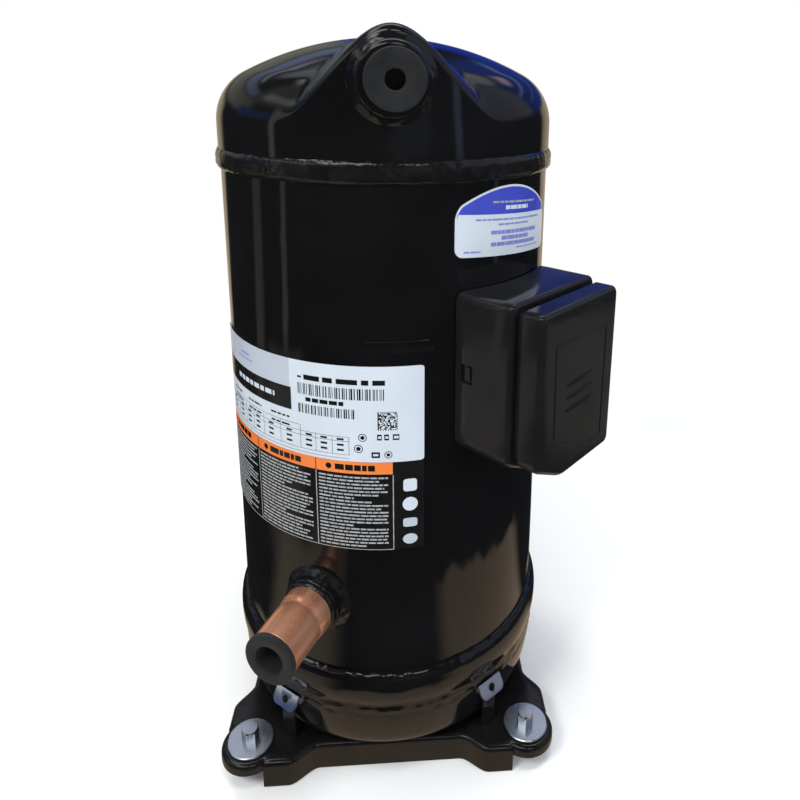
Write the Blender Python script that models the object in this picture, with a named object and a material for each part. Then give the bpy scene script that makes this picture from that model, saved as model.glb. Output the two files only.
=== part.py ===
"""A hermetic scroll compressor: a black welded steel pot on a stamped base, with its scroll set inside.

Frame: the origin is on the crankshaft's axis, in the plane of the base sheet's underside, where the feet
bear. +Z is up, and -Y is the front, where the discharge stub is. Sizes below are in millimetres and
angles in degrees, and the mesh builders turn them into metres and radians. Heights are above the lower
edge of the base's flange, and lower_to_frame brings the finished pieces down to the frame at the end.
"""

import math

import bmesh
import bpy

MM = 0.001
GAP = 0.3

# Pot
SEGMENTS = 40
SHELL_RADIUS = 110.7
SHELL_WALL = 3.5
SHELL_BOTTOM = 46.5
SEAM_BOTTOM = 406.5
SEAM_TOP = 418.5
SEAM_RADIUS = 114.4
CAP_RADIUS = 111.7
CAP_WALL = 4.0
CAP_SHOULDER = 435.0
CAP_TOP = 490.0
CAP_KNUCKLE = 36.0
HOOD_AZIMUTH = -87.3
HOOD_FOOT = 428.2
HOOD_RISE = 63.0
HOOD_CREST_SHARE = 0.36
HOOD_CREST_SPREAD = 27.5
HOOD_FLANK_SPREAD = 41.0
HOOD_EDGE = 6.4
BOTTOM_CAP_RADIUS = 115.5

# Stubs
DISCHARGE_HEIGHT = 462.0
DISCHARGE_BOSS_RADIUS = 20.6
DISCHARGE_FACE = 150.0
DISCHARGE_PLUG_HOLE = 5.1
SUCTION_AZIMUTH = -114.5
SUCTION_HEIGHT = 136.0
SUCTION_COLLAR_RADIUS = 19.0
SUCTION_COLLAR_FACE = 119.0
SUCTION_FACE = 163.5
SUCTION_TUBE_RADIUS = 15.6
SUCTION_PLUG_HOLE = 9.0

# Base
FOOT_SPACING = 190.5
FOOT = FOOT_SPACING / 2
BASE_TOP = 19.6
BASE_SHEET = 3.6
EAR_RADIUS = 19.5
EAR_LIP = 11.6
FLANGE_INNER = 102.0
FLANGE_OUTER = 113.0
FLANGE_END = 84.0
FOOT_HOLE_RADIUS = 9.5
WASHER_RADIUS = 15.5
WASHER_THICKNESS = 1.8
WASHER_BORE = 3.4
BOLT_FLATS = 10.0
BOLT_HEAD_HEIGHT = 8.6
BOLT_SHANK_RADIUS = 3.0
CLIP_AZIMUTHS = (-127.0, -53.0, 53.0, 127.0)
CLIP_BACK = 114.0
CLIP_SHEET = 1.5
CLIP_FOLD = 56.0
CLIP_HALF_WIDTH = 10.0
CLIP_LEG_HALF_WIDTH = 5.5
CLIP_HOLE_RADIUS = 2.5

# Terminal box
BOX_AZIMUTH = -45.0
BOX_HALF_WIDTH = 44.5
BOX_TOP = 343.0
BOX_BOTTOM = 231.0
BOX_FRONT = 143.5
COVER_BACK = 147.8
COVER_FRONT = 162.0
COVER_INSET = 2.6
HEADER_HEIGHT = 280.0
HEADER_RADIUS = 22.0

# Running gear
ORBIT_RADIUS = 5.1
BASE_CIRCLE = 3.2
WRAP_THICKNESS = 4.4
WRAP_START = 2.6
WRAP_END = 15.6
WRAP_STEPS = 56
PLATE_TOP = 344.2
WRAP_TIP = 383.7
FIXED_PLATE = 384.0
FIXED_TOP = 399.0
SCROLL_BOLT_CIRCLE = 93.0
SHAFT_RADIUS = 15.0
KEY_WIDTH = 10.0
STATOR_BOTTOM = 160.0
STATOR_TOP = 246.0
SLOT_COUNT = 24


def clear_scene():
    for thing in list(bpy.data.objects):
        bpy.data.objects.remove(thing, do_unlink=True)


def material(name, colour, roughness, metallic=0.0):
    made = bpy.data.materials.new(name)
    made.use_nodes = True
    shader = made.node_tree.nodes["Principled BSDF"]
    shader.inputs["Base Color"].default_value = (*colour, 1.0)
    shader.inputs["Roughness"].default_value = roughness
    shader.inputs["Metallic"].default_value = metallic
    made.diffuse_color = (*colour, 1.0)
    return made


def direction(azimuth):
    turn = math.radians(azimuth)
    return math.cos(turn), math.sin(turn)


def empty(name, location=(0, 0, 0), rotation=(0, 0, 0)):
    """An empty that carries pieces: its place and turn are those of an axis or of a side of the pot."""
    holder = bpy.data.objects.new(name, None)
    bpy.context.collection.objects.link(holder)
    holder.location = [value * MM for value in location]
    holder.rotation_euler = [math.radians(value) for value in rotation]
    return holder


def finish(name, mesh_data, finish_material, parent=None):
    """Turns the bmesh, in millimetres, into one smooth-shaded object in metres."""
    bmesh.ops.recalc_face_normals(mesh_data, faces=mesh_data.faces)
    if mesh_data.calc_volume(signed=True) < 0:
        bmesh.ops.reverse_faces(mesh_data, faces=mesh_data.faces)
    bmesh.ops.scale(mesh_data, vec=(MM, MM, MM), verts=mesh_data.verts)
    mesh = bpy.data.meshes.new(name)
    mesh_data.to_mesh(mesh)
    mesh_data.free()
    mesh.shade_smooth()
    mesh.set_sharp_from_angle(angle=math.radians(30))
    made = bpy.data.objects.new(name, mesh)
    bpy.context.collection.objects.link(made)
    if finish_material:
        mesh.materials.append(finish_material)
    if parent:
        made.parent = parent
    return made


def turned(name, profile, finish_material=None, parent=None, centre=(0, 0), segments=SEGMENTS):
    """A solid of revolution about a line parallel to Z, from a closed outline of (radius, height)."""
    made = bmesh.new()
    rings = []
    for radius, height in profile:
        if radius == 0:
            rings.append([made.verts.new((*centre, height))] * segments)
            continue
        ring = []
        for index in range(segments):
            across, along = direction(360 * index / segments)
            ring.append(made.verts.new((centre[0] + radius * across, centre[1] + radius * along, height)))
        rings.append(ring)
    for ring, following in zip(rings, rings[1:] + rings[:1]):
        for index in range(segments):
            after = (index + 1) % segments
            corners = dict.fromkeys((ring[index], ring[after], following[after], following[index]))
            if len(corners) > 2:
                made.faces.new(list(corners))
    return finish(name, made, finish_material, parent)


def rod(name, radius, low, high, finish_material=None, parent=None, centre=(0, 0), segments=20):
    profile = [(0, high), (radius, high), (radius, low), (0, low)]
    return turned(name, profile, finish_material, parent, centre, segments)


def tube(name, inner, outer, low, high, finish_material=None, parent=None, centre=(0, 0), segments=24):
    profile = [(outer, high), (outer, low), (inner, low), (inner, high)]
    return turned(name, profile, finish_material, parent, centre, segments)


def prism(name, outline, low, high, finish_material=None, parent=None, along="Z"):
    """An outline pulled straight from low to high along Z, or along X with the outline in Y and Z."""
    made = bmesh.new()
    ends = []
    for level in (low, high):
        if along == "X":
            ends.append([made.verts.new((level, first, second)) for first, second in outline])
        else:
            ends.append([made.verts.new((first, second, level)) for first, second in outline])
    for index in range(len(outline)):
        after = (index + 1) % len(outline)
        made.faces.new((ends[0][index], ends[0][after], ends[1][after], ends[1][index]))
    made.faces.new(ends[0])
    made.faces.new(ends[1])
    return finish(name, made, finish_material, parent)


def block(name, low, high, finish_material=None, parent=None):
    outline = [(low[0], low[1]), (high[0], low[1]), (high[0], high[1]), (low[0], high[1])]
    return prism(name, outline, low[2], high[2], finish_material, parent)


def combine(target, tool, operation):
    """Adds an exact Boolean to the target, and hides the tool, which is only a guide for it."""
    step = target.modifiers.new(f"{operation.lower()}_{tool.name}", "BOOLEAN")
    step.object = tool
    step.operation = operation
    step.solver = "EXACT"
    tool.hide_render = True
    tool.display_type = "WIRE"


def cut(target, tool):
    combine(target, tool, "DIFFERENCE")


def add(target, tool):
    combine(target, tool, "UNION")


def arc(centre, radius, start, end, steps):
    """Points from one azimuth to another, both included."""
    points = []
    for index in range(steps + 1):
        across, along = direction(start + (end - start) * index / steps)
        points.append((centre[0] + radius * across, centre[1] + radius * along))
    return points


def rounded(corners, radius, steps=3):
    """The polygon's corners, each replaced by a small curve that leaves and meets its two sides."""
    points = []
    count = len(corners)
    for index, corner in enumerate(corners):
        before = corners[index - 1]
        after = corners[(index + 1) % count]
        ends = []
        for neighbour in (before, after):
            length = math.dist(corner, neighbour)
            reach = min(radius, length / 2) / length
            ends.append([corner[axis] + (neighbour[axis] - corner[axis]) * reach for axis in (0, 1)])
        for step in range(steps + 1):
            share = step / steps
            weights = ((1 - share) ** 2, 2 * share * (1 - share), share**2)
            points.append(
                tuple(
                    weights[0] * ends[0][axis] + weights[1] * corner[axis] + weights[2] * ends[1][axis]
                    for axis in (0, 1)
                )
            )
    return points


def inset(outline, distance):
    """The counter-clockwise outline moved inwards, each point along the mean of its two sides' normals."""
    moved = []
    count = len(outline)
    for index, point in enumerate(outline):
        before = outline[index - 1]
        after = outline[(index + 1) % count]
        normals = []
        for start, end in ((before, point), (point, after)):
            length = math.dist(start, end)
            normals.append(((start[1] - end[1]) / length, (end[0] - start[0]) / length))
        total = (normals[0][0] + normals[1][0], normals[0][1] + normals[1][1])
        scale = 2 * distance / max(total[0] ** 2 + total[1] ** 2, 1.0)
        moved.append((point[0] + total[0] * scale, point[1] + total[1] * scale))
    return moved


def smooth_step(low, high, value):
    share = min(max((value - low) / (high - low), 0.0), 1.0)
    return share * share * (3 - 2 * share)


def blended_maximum(first, second, width):
    overlap = max(0.0, 1 - abs(first - second) / width)
    return max(first, second) + width * overlap**2 / 4


# ---- the pot ------------------------------------------------------------------------------------


def dome_height(radius):
    """The round cap: a knuckle that leaves the wall upright, then a shallow crown tangent to it."""
    knuckle_centre = CAP_RADIUS - CAP_KNUCKLE
    drop = CAP_SHOULDER - CAP_TOP
    crown = (CAP_KNUCKLE**2 - knuckle_centre**2 - drop**2) / (2 * drop + 2 * CAP_KNUCKLE)
    crown_centre = CAP_TOP - crown
    meeting = crown * knuckle_centre / math.hypot(knuckle_centre, CAP_SHOULDER - crown_centre)
    if radius < meeting:
        return crown_centre + math.sqrt(crown**2 - radius**2)
    reach = min(radius - knuckle_centre, CAP_KNUCKLE)
    return CAP_SHOULDER + math.sqrt(CAP_KNUCKLE**2 - reach**2)


def cap_height(radius, azimuth):
    """The dome, with the hood over the discharge stub raised out of its front."""
    turn = math.radians(azimuth - HOOD_AZIMUTH)
    aside = radius * math.sin(turn)
    ahead = radius * math.cos(turn)
    rounded_crest = HOOD_CREST_SHARE * math.exp(-0.5 * (aside / HOOD_CREST_SPREAD) ** 2)
    flanks = (1 - HOOD_CREST_SHARE) * math.exp(-0.5 * (aside / HOOD_FLANK_SPREAD) ** 2)
    crest = HOOD_FOOT + HOOD_RISE * (rounded_crest + flanks) * smooth_step(-20, 40, ahead)
    edge = min(HOOD_EDGE, max(crest - CAP_SHOULDER, 0.01))
    past = max(0.0, radius - (CAP_RADIUS - edge))
    hood = crest - edge + math.sqrt(max(edge**2 - past**2, 0.0))
    return blended_maximum(dome_height(radius), hood, 6.0)


def cap_skin(made, shrink, knuckle_angles, crown_radii):
    """Rings of one side of the cap, from the foot of its wall to the middle, shrunk for the inside."""
    knuckle_centre = CAP_RADIUS - CAP_KNUCKLE
    radii = [knuckle_centre + CAP_KNUCKLE * direction(angle)[0] for angle in knuckle_angles]
    radii += crown_radii
    scale = (CAP_RADIUS - shrink) / CAP_RADIUS
    rings = [[]]
    for index in range(SEGMENTS):
        across, along = direction(360 * index / SEGMENTS)
        foot = SEAM_TOP + GAP
        rings[0].append(made.verts.new((CAP_RADIUS * scale * across, CAP_RADIUS * scale * along, foot)))
    for radius in radii:
        ring = []
        for index in range(SEGMENTS):
            azimuth = 360 * index / SEGMENTS
            across, along = direction(azimuth)
            height = cap_height(radius, azimuth) - shrink
            ring.append(made.verts.new((radius * scale * across, radius * scale * along, height)))
        rings.append(ring)
    middle = made.verts.new((0, 0, cap_height(0, 0) - shrink))
    for ring, following in zip(rings, rings[1:]):
        for index in range(SEGMENTS):
            after = (index + 1) % SEGMENTS
            made.faces.new((ring[index], ring[after], following[after], following[index]))
    for index in range(SEGMENTS):
        made.faces.new((rings[-1][index], rings[-1][(index + 1) % SEGMENTS], middle))
    return rings[0]


def make_top_cap(paint, stub):
    made = bmesh.new()
    outer = cap_skin(made, 0.0, (0, 15, 30, 47, 66), [72, 48, 24])
    inner = cap_skin(made, CAP_WALL, (0, 28, 58), [50])
    for index in range(SEGMENTS):
        after = (index + 1) % SEGMENTS
        made.faces.new((outer[index], outer[after], inner[after], inner[index]))
    cap = finish("top_cap", made, paint)
    cut(cap, rod("discharge_opening", DISCHARGE_BOSS_RADIUS + GAP, 60, 140, parent=stub, segments=32))


def make_discharge(paint, rubber, stub):
    boss = DISCHARGE_BOSS_RADIUS
    profile = [
        (13.2, 146.5),
        (14.6, 146.5),
        (14.6, 126.0),
        (boss - 3.5, 124.5),
        (boss - 0.8, 121.5),
        (boss, 118.0),
        (boss, 101.0),
        (11.4, 101.0),
        (11.4, 128.0),
        (13.2, 130.0),
    ]
    turned("discharge_fitting", profile, paint, stub, segments=24)
    plug = [
        (15.0, DISCHARGE_FACE),
        (15.3, DISCHARGE_FACE - 0.6),
        (15.3, 146.8),
        (12.9, 146.8),
        (12.9, 131.5),
        (0, 131.5),
        (0, 138.0),
        (DISCHARGE_PLUG_HOLE, 138.0),
        (DISCHARGE_PLUG_HOLE, DISCHARGE_FACE),
    ]
    turned("discharge_plug", plug, rubber, stub, segments=24)


def make_suction(paint, copper, rubber, stub):
    collar = SUCTION_COLLAR_RADIUS
    bore = SUCTION_TUBE_RADIUS + 0.9
    profile = [
        (bore, SUCTION_COLLAR_FACE),
        (collar - 1.6, SUCTION_COLLAR_FACE),
        (collar, SUCTION_COLLAR_FACE - 2.0),
        (collar, 100.0),
        (bore, 100.0),
    ]
    turned("suction_fitting", profile, paint, stub, segments=24)
    wall = SUCTION_TUBE_RADIUS
    swage = wall + 0.5
    pipe = [
        (wall, 159.8),
        (wall, 132.5),
        (swage, 130.5),
        (swage, 96.0),
        (13.8, 96.0),
        (13.8, 159.8),
    ]
    turned("suction_tube", pipe, copper, stub, segments=24)
    plug = [
        (16.0, SUCTION_FACE),
        (16.4, SUCTION_FACE - 0.6),
        (16.4, 160.1),
        (13.4, 160.1),
        (13.4, 142.0),
        (0, 142.0),
        (0, 150.0),
        (SUCTION_PLUG_HOLE, 150.0),
        (SUCTION_PLUG_HOLE, SUCTION_FACE),
    ]
    turned("suction_plug", plug, rubber, stub, segments=24)


def make_shell(paint, suction_stub, header_stub):
    shell = tube(
        "shell",
        SHELL_RADIUS - SHELL_WALL,
        SHELL_RADIUS,
        SHELL_BOTTOM,
        SEAM_BOTTOM - GAP,
        paint,
        segments=SEGMENTS,
    )
    opening = SUCTION_COLLAR_RADIUS + GAP
    cut(shell, rod("suction_opening", opening, 80, 130, parent=suction_stub, segments=32))
    cut(shell, rod("header_opening", HEADER_RADIUS + GAP, 80, 130, parent=header_stub, segments=32))


def make_bottom_cap(paint):
    rim = BOTTOM_CAP_RADIUS
    sleeve = SHELL_RADIUS + GAP
    profile = [
        (sleeve, 84.0),
        (sleeve + 1.6, 84.4),
        (rim, 80.5),
        (rim, 68.0),
        (rim - 1.8, 62.0),
        (rim - 2.4, 48.0),
        (110.4, 31.0),
        (107.5, 25.5),
        (100.0, 22.4),
        (0, BASE_TOP + GAP),
        (0, BASE_TOP + 4.2),
        (99.0, 26.4),
        (104.4, 31.0),
        (106.5, 45.5),
        (sleeve, SHELL_BOTTOM - GAP),
    ]
    turned("bottom_cap", profile, paint)


def base_outline():
    """The base's edge, counter-clockwise, as (x, y, height of its lower edge): four sides and ears."""
    side = [(-FLANGE_END, -FLANGE_OUTER, 0.0)]
    jog = (50.0, 55.0, 61.0, 66.0)
    for across in jog[::-1]:
        share = smooth_step(jog[0], jog[-1], across)
        side.append((-across, -FLANGE_INNER - (FLANGE_OUTER - FLANGE_INNER) * share, 0.0))
    side += [(-across, along, low) for across, along, low in side[::-1]]
    ear_start = -123.0
    ear_end = -90.0 - ear_start
    side += [(*point, EAR_LIP) for point in arc((FOOT, -FOOT), EAR_RADIUS, ear_start, ear_end, 7)]
    outline = []
    for quarter in range(4):
        across, along = direction(90 * quarter)
        for first, second, low in side:
            outline.append((first * across - second * along, first * along + second * across, low))
    return outline


def make_base(paint):
    """The stamped base: a sheet with a turned-down edge, and a shorter lip at each ear."""
    outline = base_outline()
    flat = [point[:2] for point in outline]
    low = [point[2] for point in outline]
    made = bmesh.new()
    rings = []
    for distance, heights in (
        (BASE_SHEET, [BASE_TOP - BASE_SHEET] * len(flat)),
        (BASE_SHEET, low),
        (0.0, low),
        (0.0, [BASE_TOP - 3.4] * len(flat)),
        (1.0, [BASE_TOP - 1.0] * len(flat)),
        (3.2, [BASE_TOP] * len(flat)),
    ):
        moved = inset(flat, distance) if distance else flat
        rings.append([made.verts.new((*point, level)) for point, level in zip(moved, heights)])
    for ring, following in zip(rings, rings[1:]):
        for index in range(len(flat)):
            after = (index + 1) % len(flat)
            made.faces.new((ring[index], ring[after], following[after], following[index]))
    made.faces.new(rings[0])
    made.faces.new(rings[-1])
    base = finish("base_plate", made, paint)
    for index, (across, along) in enumerate(feet()):
        cut(base, rod(f"foot_hole_{index}", FOOT_HOLE_RADIUS, -10, 40, centre=(across, along), segments=16))


def feet():
    return [(-FOOT, -FOOT), (FOOT, -FOOT), (FOOT, FOOT), (-FOOT, FOOT)]


def make_foot_fasteners(zinc):
    seat = BASE_TOP + GAP
    head = seat + WASHER_THICKNESS + GAP
    corner = BOLT_FLATS / math.sqrt(3)
    for number, centre in enumerate(feet(), 1):
        tube(
            f"foot_washer_{number}", WASHER_BORE, WASHER_RADIUS, seat, seat + WASHER_THICKNESS, zinc, centre=centre
        )
        top = head + BOLT_HEAD_HEIGHT
        bolt = rod(f"foot_bolt_{number}", corner, head, top, zinc, centre=centre, segments=6)
        shank = rod(
            f"foot_bolt_shank_{number}", BOLT_SHANK_RADIUS, 2.0, head + 1, centre=centre, segments=16
        )
        add(bolt, shank)


def make_base_clips(zinc):
    """Folded strips: a leg stands on the base, and a wing with a hole hangs out from the fold."""
    front = CLIP_BACK + CLIP_SHEET
    wing = [
        (CLIP_BACK, CLIP_FOLD - 1.4),
        (CLIP_BACK + 0.4, CLIP_FOLD),
        (120.9, 47.3),
        (119.7, 46.4),
        (front, CLIP_FOLD - 4.0),
        (CLIP_BACK, CLIP_FOLD - 4.0),
    ]
    for number, azimuth in enumerate(CLIP_AZIMUTHS, 1):
        corner = empty(f"clip_side_{number}", rotation=(0, 0, azimuth))
        made = bmesh.new()
        ends = []
        for side in (-CLIP_HALF_WIDTH, CLIP_HALF_WIDTH):
            ends.append([made.verts.new((first, side, level)) for first, level in wing])
        for index in range(len(wing)):
            after = (index + 1) % len(wing)
            made.faces.new((ends[0][index], ends[0][after], ends[1][after], ends[1][index]))
        made.faces.new(ends[0])
        made.faces.new(ends[1])
        clip = finish(f"base_clip_{number}", made, zinc, corner)
        low = (CLIP_BACK, -CLIP_LEG_HALF_WIDTH, BASE_TOP + GAP)
        high = (front, CLIP_LEG_HALF_WIDTH, CLIP_FOLD - 2.6)
        add(clip, block(f"clip_leg_{number}", low, high, parent=corner))
        slope = empty(f"clip_slope_{number}", (117.4, 0, 51.3), (0, 53.2, 0))
        slope.parent = corner
        hole = rod(f"clip_hole_{number}", CLIP_HOLE_RADIUS, -1.7, 4, parent=slope, segments=12)
        cut(clip, hole)


# ---- the labels ---------------------------------------------------------------------------------


def curved_sheet(name, start, end, steps, bottom, top, paper):
    """A thin sheet that lies round the shell, with its lower and upper edges given by azimuth."""
    inner = SHELL_RADIUS + 0.4
    outer = inner + 0.35
    made = bmesh.new()
    columns = []
    for index in range(steps + 1):
        azimuth = start + (end - start) * index / steps
        across, along = direction(azimuth)
        columns.append(
            [
                made.verts.new((radius * across, radius * along, level))
                for radius, level in (
                    (inner, bottom(azimuth)),
                    (inner, top(azimuth)),
                    (outer, top(azimuth)),
                    (outer, bottom(azimuth)),
                )
            ]
        )
    for column, following in zip(columns, columns[1:]):
        for corner in range(4):
            after = (corner + 1) % 4
            made.faces.new((column[corner], column[after], following[after], following[corner]))
    made.faces.new(columns[0])
    made.faces.new(columns[-1])
    return finish(name, made, paper)


def make_labels(paper, blue):
    curved_sheet("rating_label", -164.5, -78.2, 22, lambda azimuth: 177.9, lambda azimuth: 300.2, paper)

    def foot(azimuth):
        return 359.5 - 7.0 * (azimuth + 46.0) / 46.0

    def arch(azimuth):
        return foot(azimuth) + 28.0 + 15.0 * (1 - ((azimuth + 46.0) / 23.0) ** 2)

    curved_sheet("caution_label", -69.0, -23.0, 14, foot, arch, blue)


# ---- the terminal box ---------------------------------------------------------------------------


def box_outline(margin):
    """The box's face, counter-clockwise, with one lower corner cut off, drawn in by the margin."""
    side = BOX_HALF_WIDTH
    corners = [(-16.0, BOX_BOTTOM), (side, BOX_BOTTOM), (side, BOX_TOP), (-side, BOX_TOP), (-side, 245.0)]
    return rounded(inset(corners, margin), 6.0)


def make_terminal_box(plastic, zinc, side):
    box = prism("terminal_box", box_outline(0), 99.0, BOX_FRONT, plastic, side, "X")
    add(box, prism("box_lip", box_outline(5.4), 120.0, COVER_BACK + 2.0, None, side, "X"))
    cut(box, rod("box_seat", SHELL_RADIUS + 1.2, 200, 380, segments=SEGMENTS))
    hollow = prism("box_hollow", box_outline(7.4), 90.0, COVER_BACK + 6.0, None, side, "X")
    cut(hollow, rod("box_floor", SHELL_RADIUS + 4.2, 190, 390, segments=SEGMENTS))
    cut(box, hollow)
    header_opening = rod("box_header_opening", HEADER_RADIUS + 3.5, 60, 130, segments=32)
    header_opening.parent = empty("box_header", (0, 0, HEADER_HEIGHT), (0, 90, 0))
    header_opening.parent.parent = side
    cut(box, header_opening)

    cover = prism("terminal_cover", box_outline(COVER_INSET), COVER_BACK, COVER_FRONT, plastic, side, "X")
    bevel = cover.modifiers.new("soft_edge", "BEVEL")
    bevel.width = 2.5 * MM
    bevel.segments = 1
    bevel.limit_method = "ANGLE"
    bevel.angle_limit = math.radians(60)
    inside = prism(
        "cover_hollow", box_outline(COVER_INSET + 2.4), COVER_BACK - 5, COVER_FRONT - 2.6, None, side, "X"
    )
    cut(cover, inside)

    screw = empty("ground_screw_place", (118.0, 24.0, 318.0), (0, 90, 0))
    screw.parent = side
    head = [(0, 5.5), (3.2, 5.5), (4.2, 4.2), (4.2, 2.0), (2.1, 2.0), (2.1, -0.5), (0, -0.5)]
    turned("ground_screw", head, zinc, screw, segments=12)


def make_header(steel, brass, stub):
    profile = [
        (HEADER_RADIUS, 113.0),
        (HEADER_RADIUS, 104.5),
        (0, 104.5),
        (0, 108.0),
        (HEADER_RADIUS - 2.2, 108.0),
        (HEADER_RADIUS - 2.2, 113.0),
    ]
    header = turned("terminal_header", profile, steel, stub, segments=24)
    for number in range(3):
        across, along = direction(90 + 120 * number)
        centre = (9.0 * across, 9.0 * along)
        cut(header, rod(f"pin_opening_{number}", 3.6, 95, 120, parent=stub, centre=centre, segments=12))
        pin = [
            (0, 122.0),
            (1.6, 122.0),
            (1.6, 108.6),
            (3.2, 108.0),
            (3.2, 104.6),
            (1.6, 104.0),
            (1.6, 98.0),
            (0, 98.0),
        ]
        turned(f"terminal_pin_{number + 1}", pin, brass, stub, centre, 8)


# ---- the scroll set -----------------------------------------------------------------------------


def involute(angle, offset):
    """A point on the base circle's involute at this tangent angle, moved out along the tangent."""
    across, along = math.cos(angle), math.sin(angle)
    unrolled = BASE_CIRCLE * angle + offset
    return BASE_CIRCLE * across + unrolled * along, BASE_CIRCLE * along - unrolled * across


def wrap(name, turned_by, low, high, parent=None):
    """The scroll wall: two involutes of one base circle, side by side, pulled up from low to high."""
    across, along = direction(turned_by)
    made = bmesh.new()
    sections = []
    for index in range(WRAP_STEPS + 1):
        angle = WRAP_START + (WRAP_END - WRAP_START) * index / WRAP_STEPS
        section = []
        for offset, level in (
            (WRAP_THICKNESS / 2, low),
            (-WRAP_THICKNESS / 2, low),
            (-WRAP_THICKNESS / 2, high),
            (WRAP_THICKNESS / 2, high),
        ):
            first, second = involute(angle, offset)
            place = (first * across - second * along, first * along + second * across, level)
            section.append(made.verts.new(place))
        sections.append(section)
    for section, following in zip(sections, sections[1:]):
        for corner in range(4):
            after = (corner + 1) % 4
            made.faces.new((section[corner], section[after], following[after], following[corner]))
    made.faces.new(sections[0])
    made.faces.new(sections[-1])
    return finish(name, made, None, parent)


def make_fixed_scroll(iron):
    profile = [
        (7.0, FIXED_TOP),
        (33.0, FIXED_TOP),
        (33.0, 389.0),
        (63.0, 389.0),
        (63.0, FIXED_TOP),
        (84.0, FIXED_TOP),
        (84.0, 356.0),
        (101.0, 356.0),
        (101.0, PLATE_TOP + GAP),
        (60.0, PLATE_TOP + GAP),
        (60.0, FIXED_PLATE),
        (7.0, FIXED_PLATE),
    ]
    scroll = turned("fixed_scroll", profile, iron, segments=32)
    add(scroll, wrap("fixed_wrap", 0, PLATE_TOP + 0.4, FIXED_PLATE + 1.0))
    cut(scroll, block("suction_port", (55, -18, 350), (90, 18, 376)))
    for number, azimuth in enumerate((45, 135, 225, 315)):
        centre = [SCROLL_BOLT_CIRCLE * value for value in direction(azimuth)]
        cut(scroll, rod(f"sleeve_hole_{number}", 6.0, 340, 360, centre=centre, segments=10))


def make_orbiting_scroll(iron, bronze, orbit):
    profile = [
        (0, PLATE_TOP),
        (80.0, PLATE_TOP),
        (80.0, 334.0),
        (26.0, 334.0),
        (26.0, 300.5),
        (20.2, 300.5),
        (20.2, 330.0),
        (0, 330.0),
    ]
    scroll = turned("orbiting_scroll", profile, iron, orbit, segments=32)
    add(scroll, wrap("orbiting_wrap", 180, PLATE_TOP - 1.0, WRAP_TIP, orbit))
    reach = KEY_WIDTH / 2 + 2 * ORBIT_RADIUS + 1.0
    for side in (-1, 1):
        ends = sorted((side * 61.5, side * 90.0))
        slot = block(
            f"orbiting_key_slot_{side + 1}", (-reach - ORBIT_RADIUS, ends[0], 320), (reach, ends[1], 360)
        )
        slot.parent = orbit
        cut(scroll, slot)
    tube("orbiting_bearing", 15.7, 19.9, 300.8, 329.5, bronze, orbit)


def make_oldham_ring(alloy):
    ring = tube("oldham_ring", 67.0, 79.0, 325.5, 332.2, alloy, segments=32)
    half = KEY_WIDTH / 2
    for side in (-1, 1):
        ends = sorted((side * 68.0, side * 78.0))
        add(ring, block(f"lower_key_{side + 1}", (ends[0], -half, 318.8), (ends[1], half, 328)))
        add(ring, block(f"upper_key_{side + 1}", (-half, ends[0], 330), (half, ends[1], 339.5)))


def make_housing(iron, bronze):
    profile = [
        (106.6, PLATE_TOP),
        (106.6, 310.0),
        (92.0, 310.0),
        (60.0, 298.0),
        (32.0, 291.0),
        (30.0, 286.0),
        (30.0, 263.0),
        (19.3, 263.0),
        (19.3, 296.0),
        (32.6, 296.0),
        (32.6, 333.6),
        (57.0, 333.6),
        (57.0, 324.0),
        (86.4, 324.0),
        (86.4, PLATE_TOP),
    ]
    housing = turned("bearing_housing", profile, iron, segments=36)
    slot = KEY_WIDTH / 2 + GAP
    for side in (-1, 1):
        ends = sorted((side * 60.0, side * 85.0))
        cut(housing, block(f"housing_key_slot_{side + 1}", (ends[0], -slot, 318.4), (ends[1], slot, 326)))
    for number, azimuth in enumerate((45, 135, 225, 315)):
        centre = [SCROLL_BOLT_CIRCLE * value for value in direction(azimuth)]
        cut(housing, rod(f"thread_{number}", 4.6, 325, 350, centre=centre, segments=10))
    tube("main_bearing", 15.9, 19.0, 264.0, 295.0, bronze)


def make_scroll_bolts(zinc):
    for number, azimuth in enumerate((45, 135, 225, 315), 1):
        centre = [SCROLL_BOLT_CIRCLE * value for value in direction(azimuth)]
        profile = [
            (0, 364.0),
            (6.6, 364.0),
            (6.6, 357.4),
            (5.5, 357.4),
            (5.5, PLATE_TOP + GAP),
            (4.0, PLATE_TOP + GAP),
            (4.0, 327.0),
            (0, 327.0),
        ]
        turned(f"scroll_bolt_{number}", profile, zinc, centre=centre, segments=10)


# ---- the crank and the motor --------------------------------------------------------------------


def make_counterweight(name, seat, face, step, start, end, iron):
    """A collar on the shaft with a stepped weight over part of the turn, clear of its neighbour."""
    collar = tube(name, SHAFT_RADIUS + GAP, 29.0, min(seat, face), max(seat, face), iron)
    inner, far = step
    profile = [(20.0, seat), (46.0, seat), (46.0, far), (inner, far), (inner, face), (20.0, face)]
    made = bmesh.new()
    sections = []
    steps = 8
    for index in range(steps + 1):
        across, along = direction(start + (end - start) * index / steps)
        sections.append([made.verts.new((out * across, out * along, level)) for out, level in profile])
    for section, following in zip(sections, sections[1:]):
        for corner in range(len(profile)):
            after = (corner + 1) % len(profile)
            made.faces.new((section[corner], section[after], following[after], following[corner]))
    made.faces.new(sections[0])
    made.faces.new(sections[-1])
    add(collar, finish(f"{name}_sector", made, None))


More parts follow.
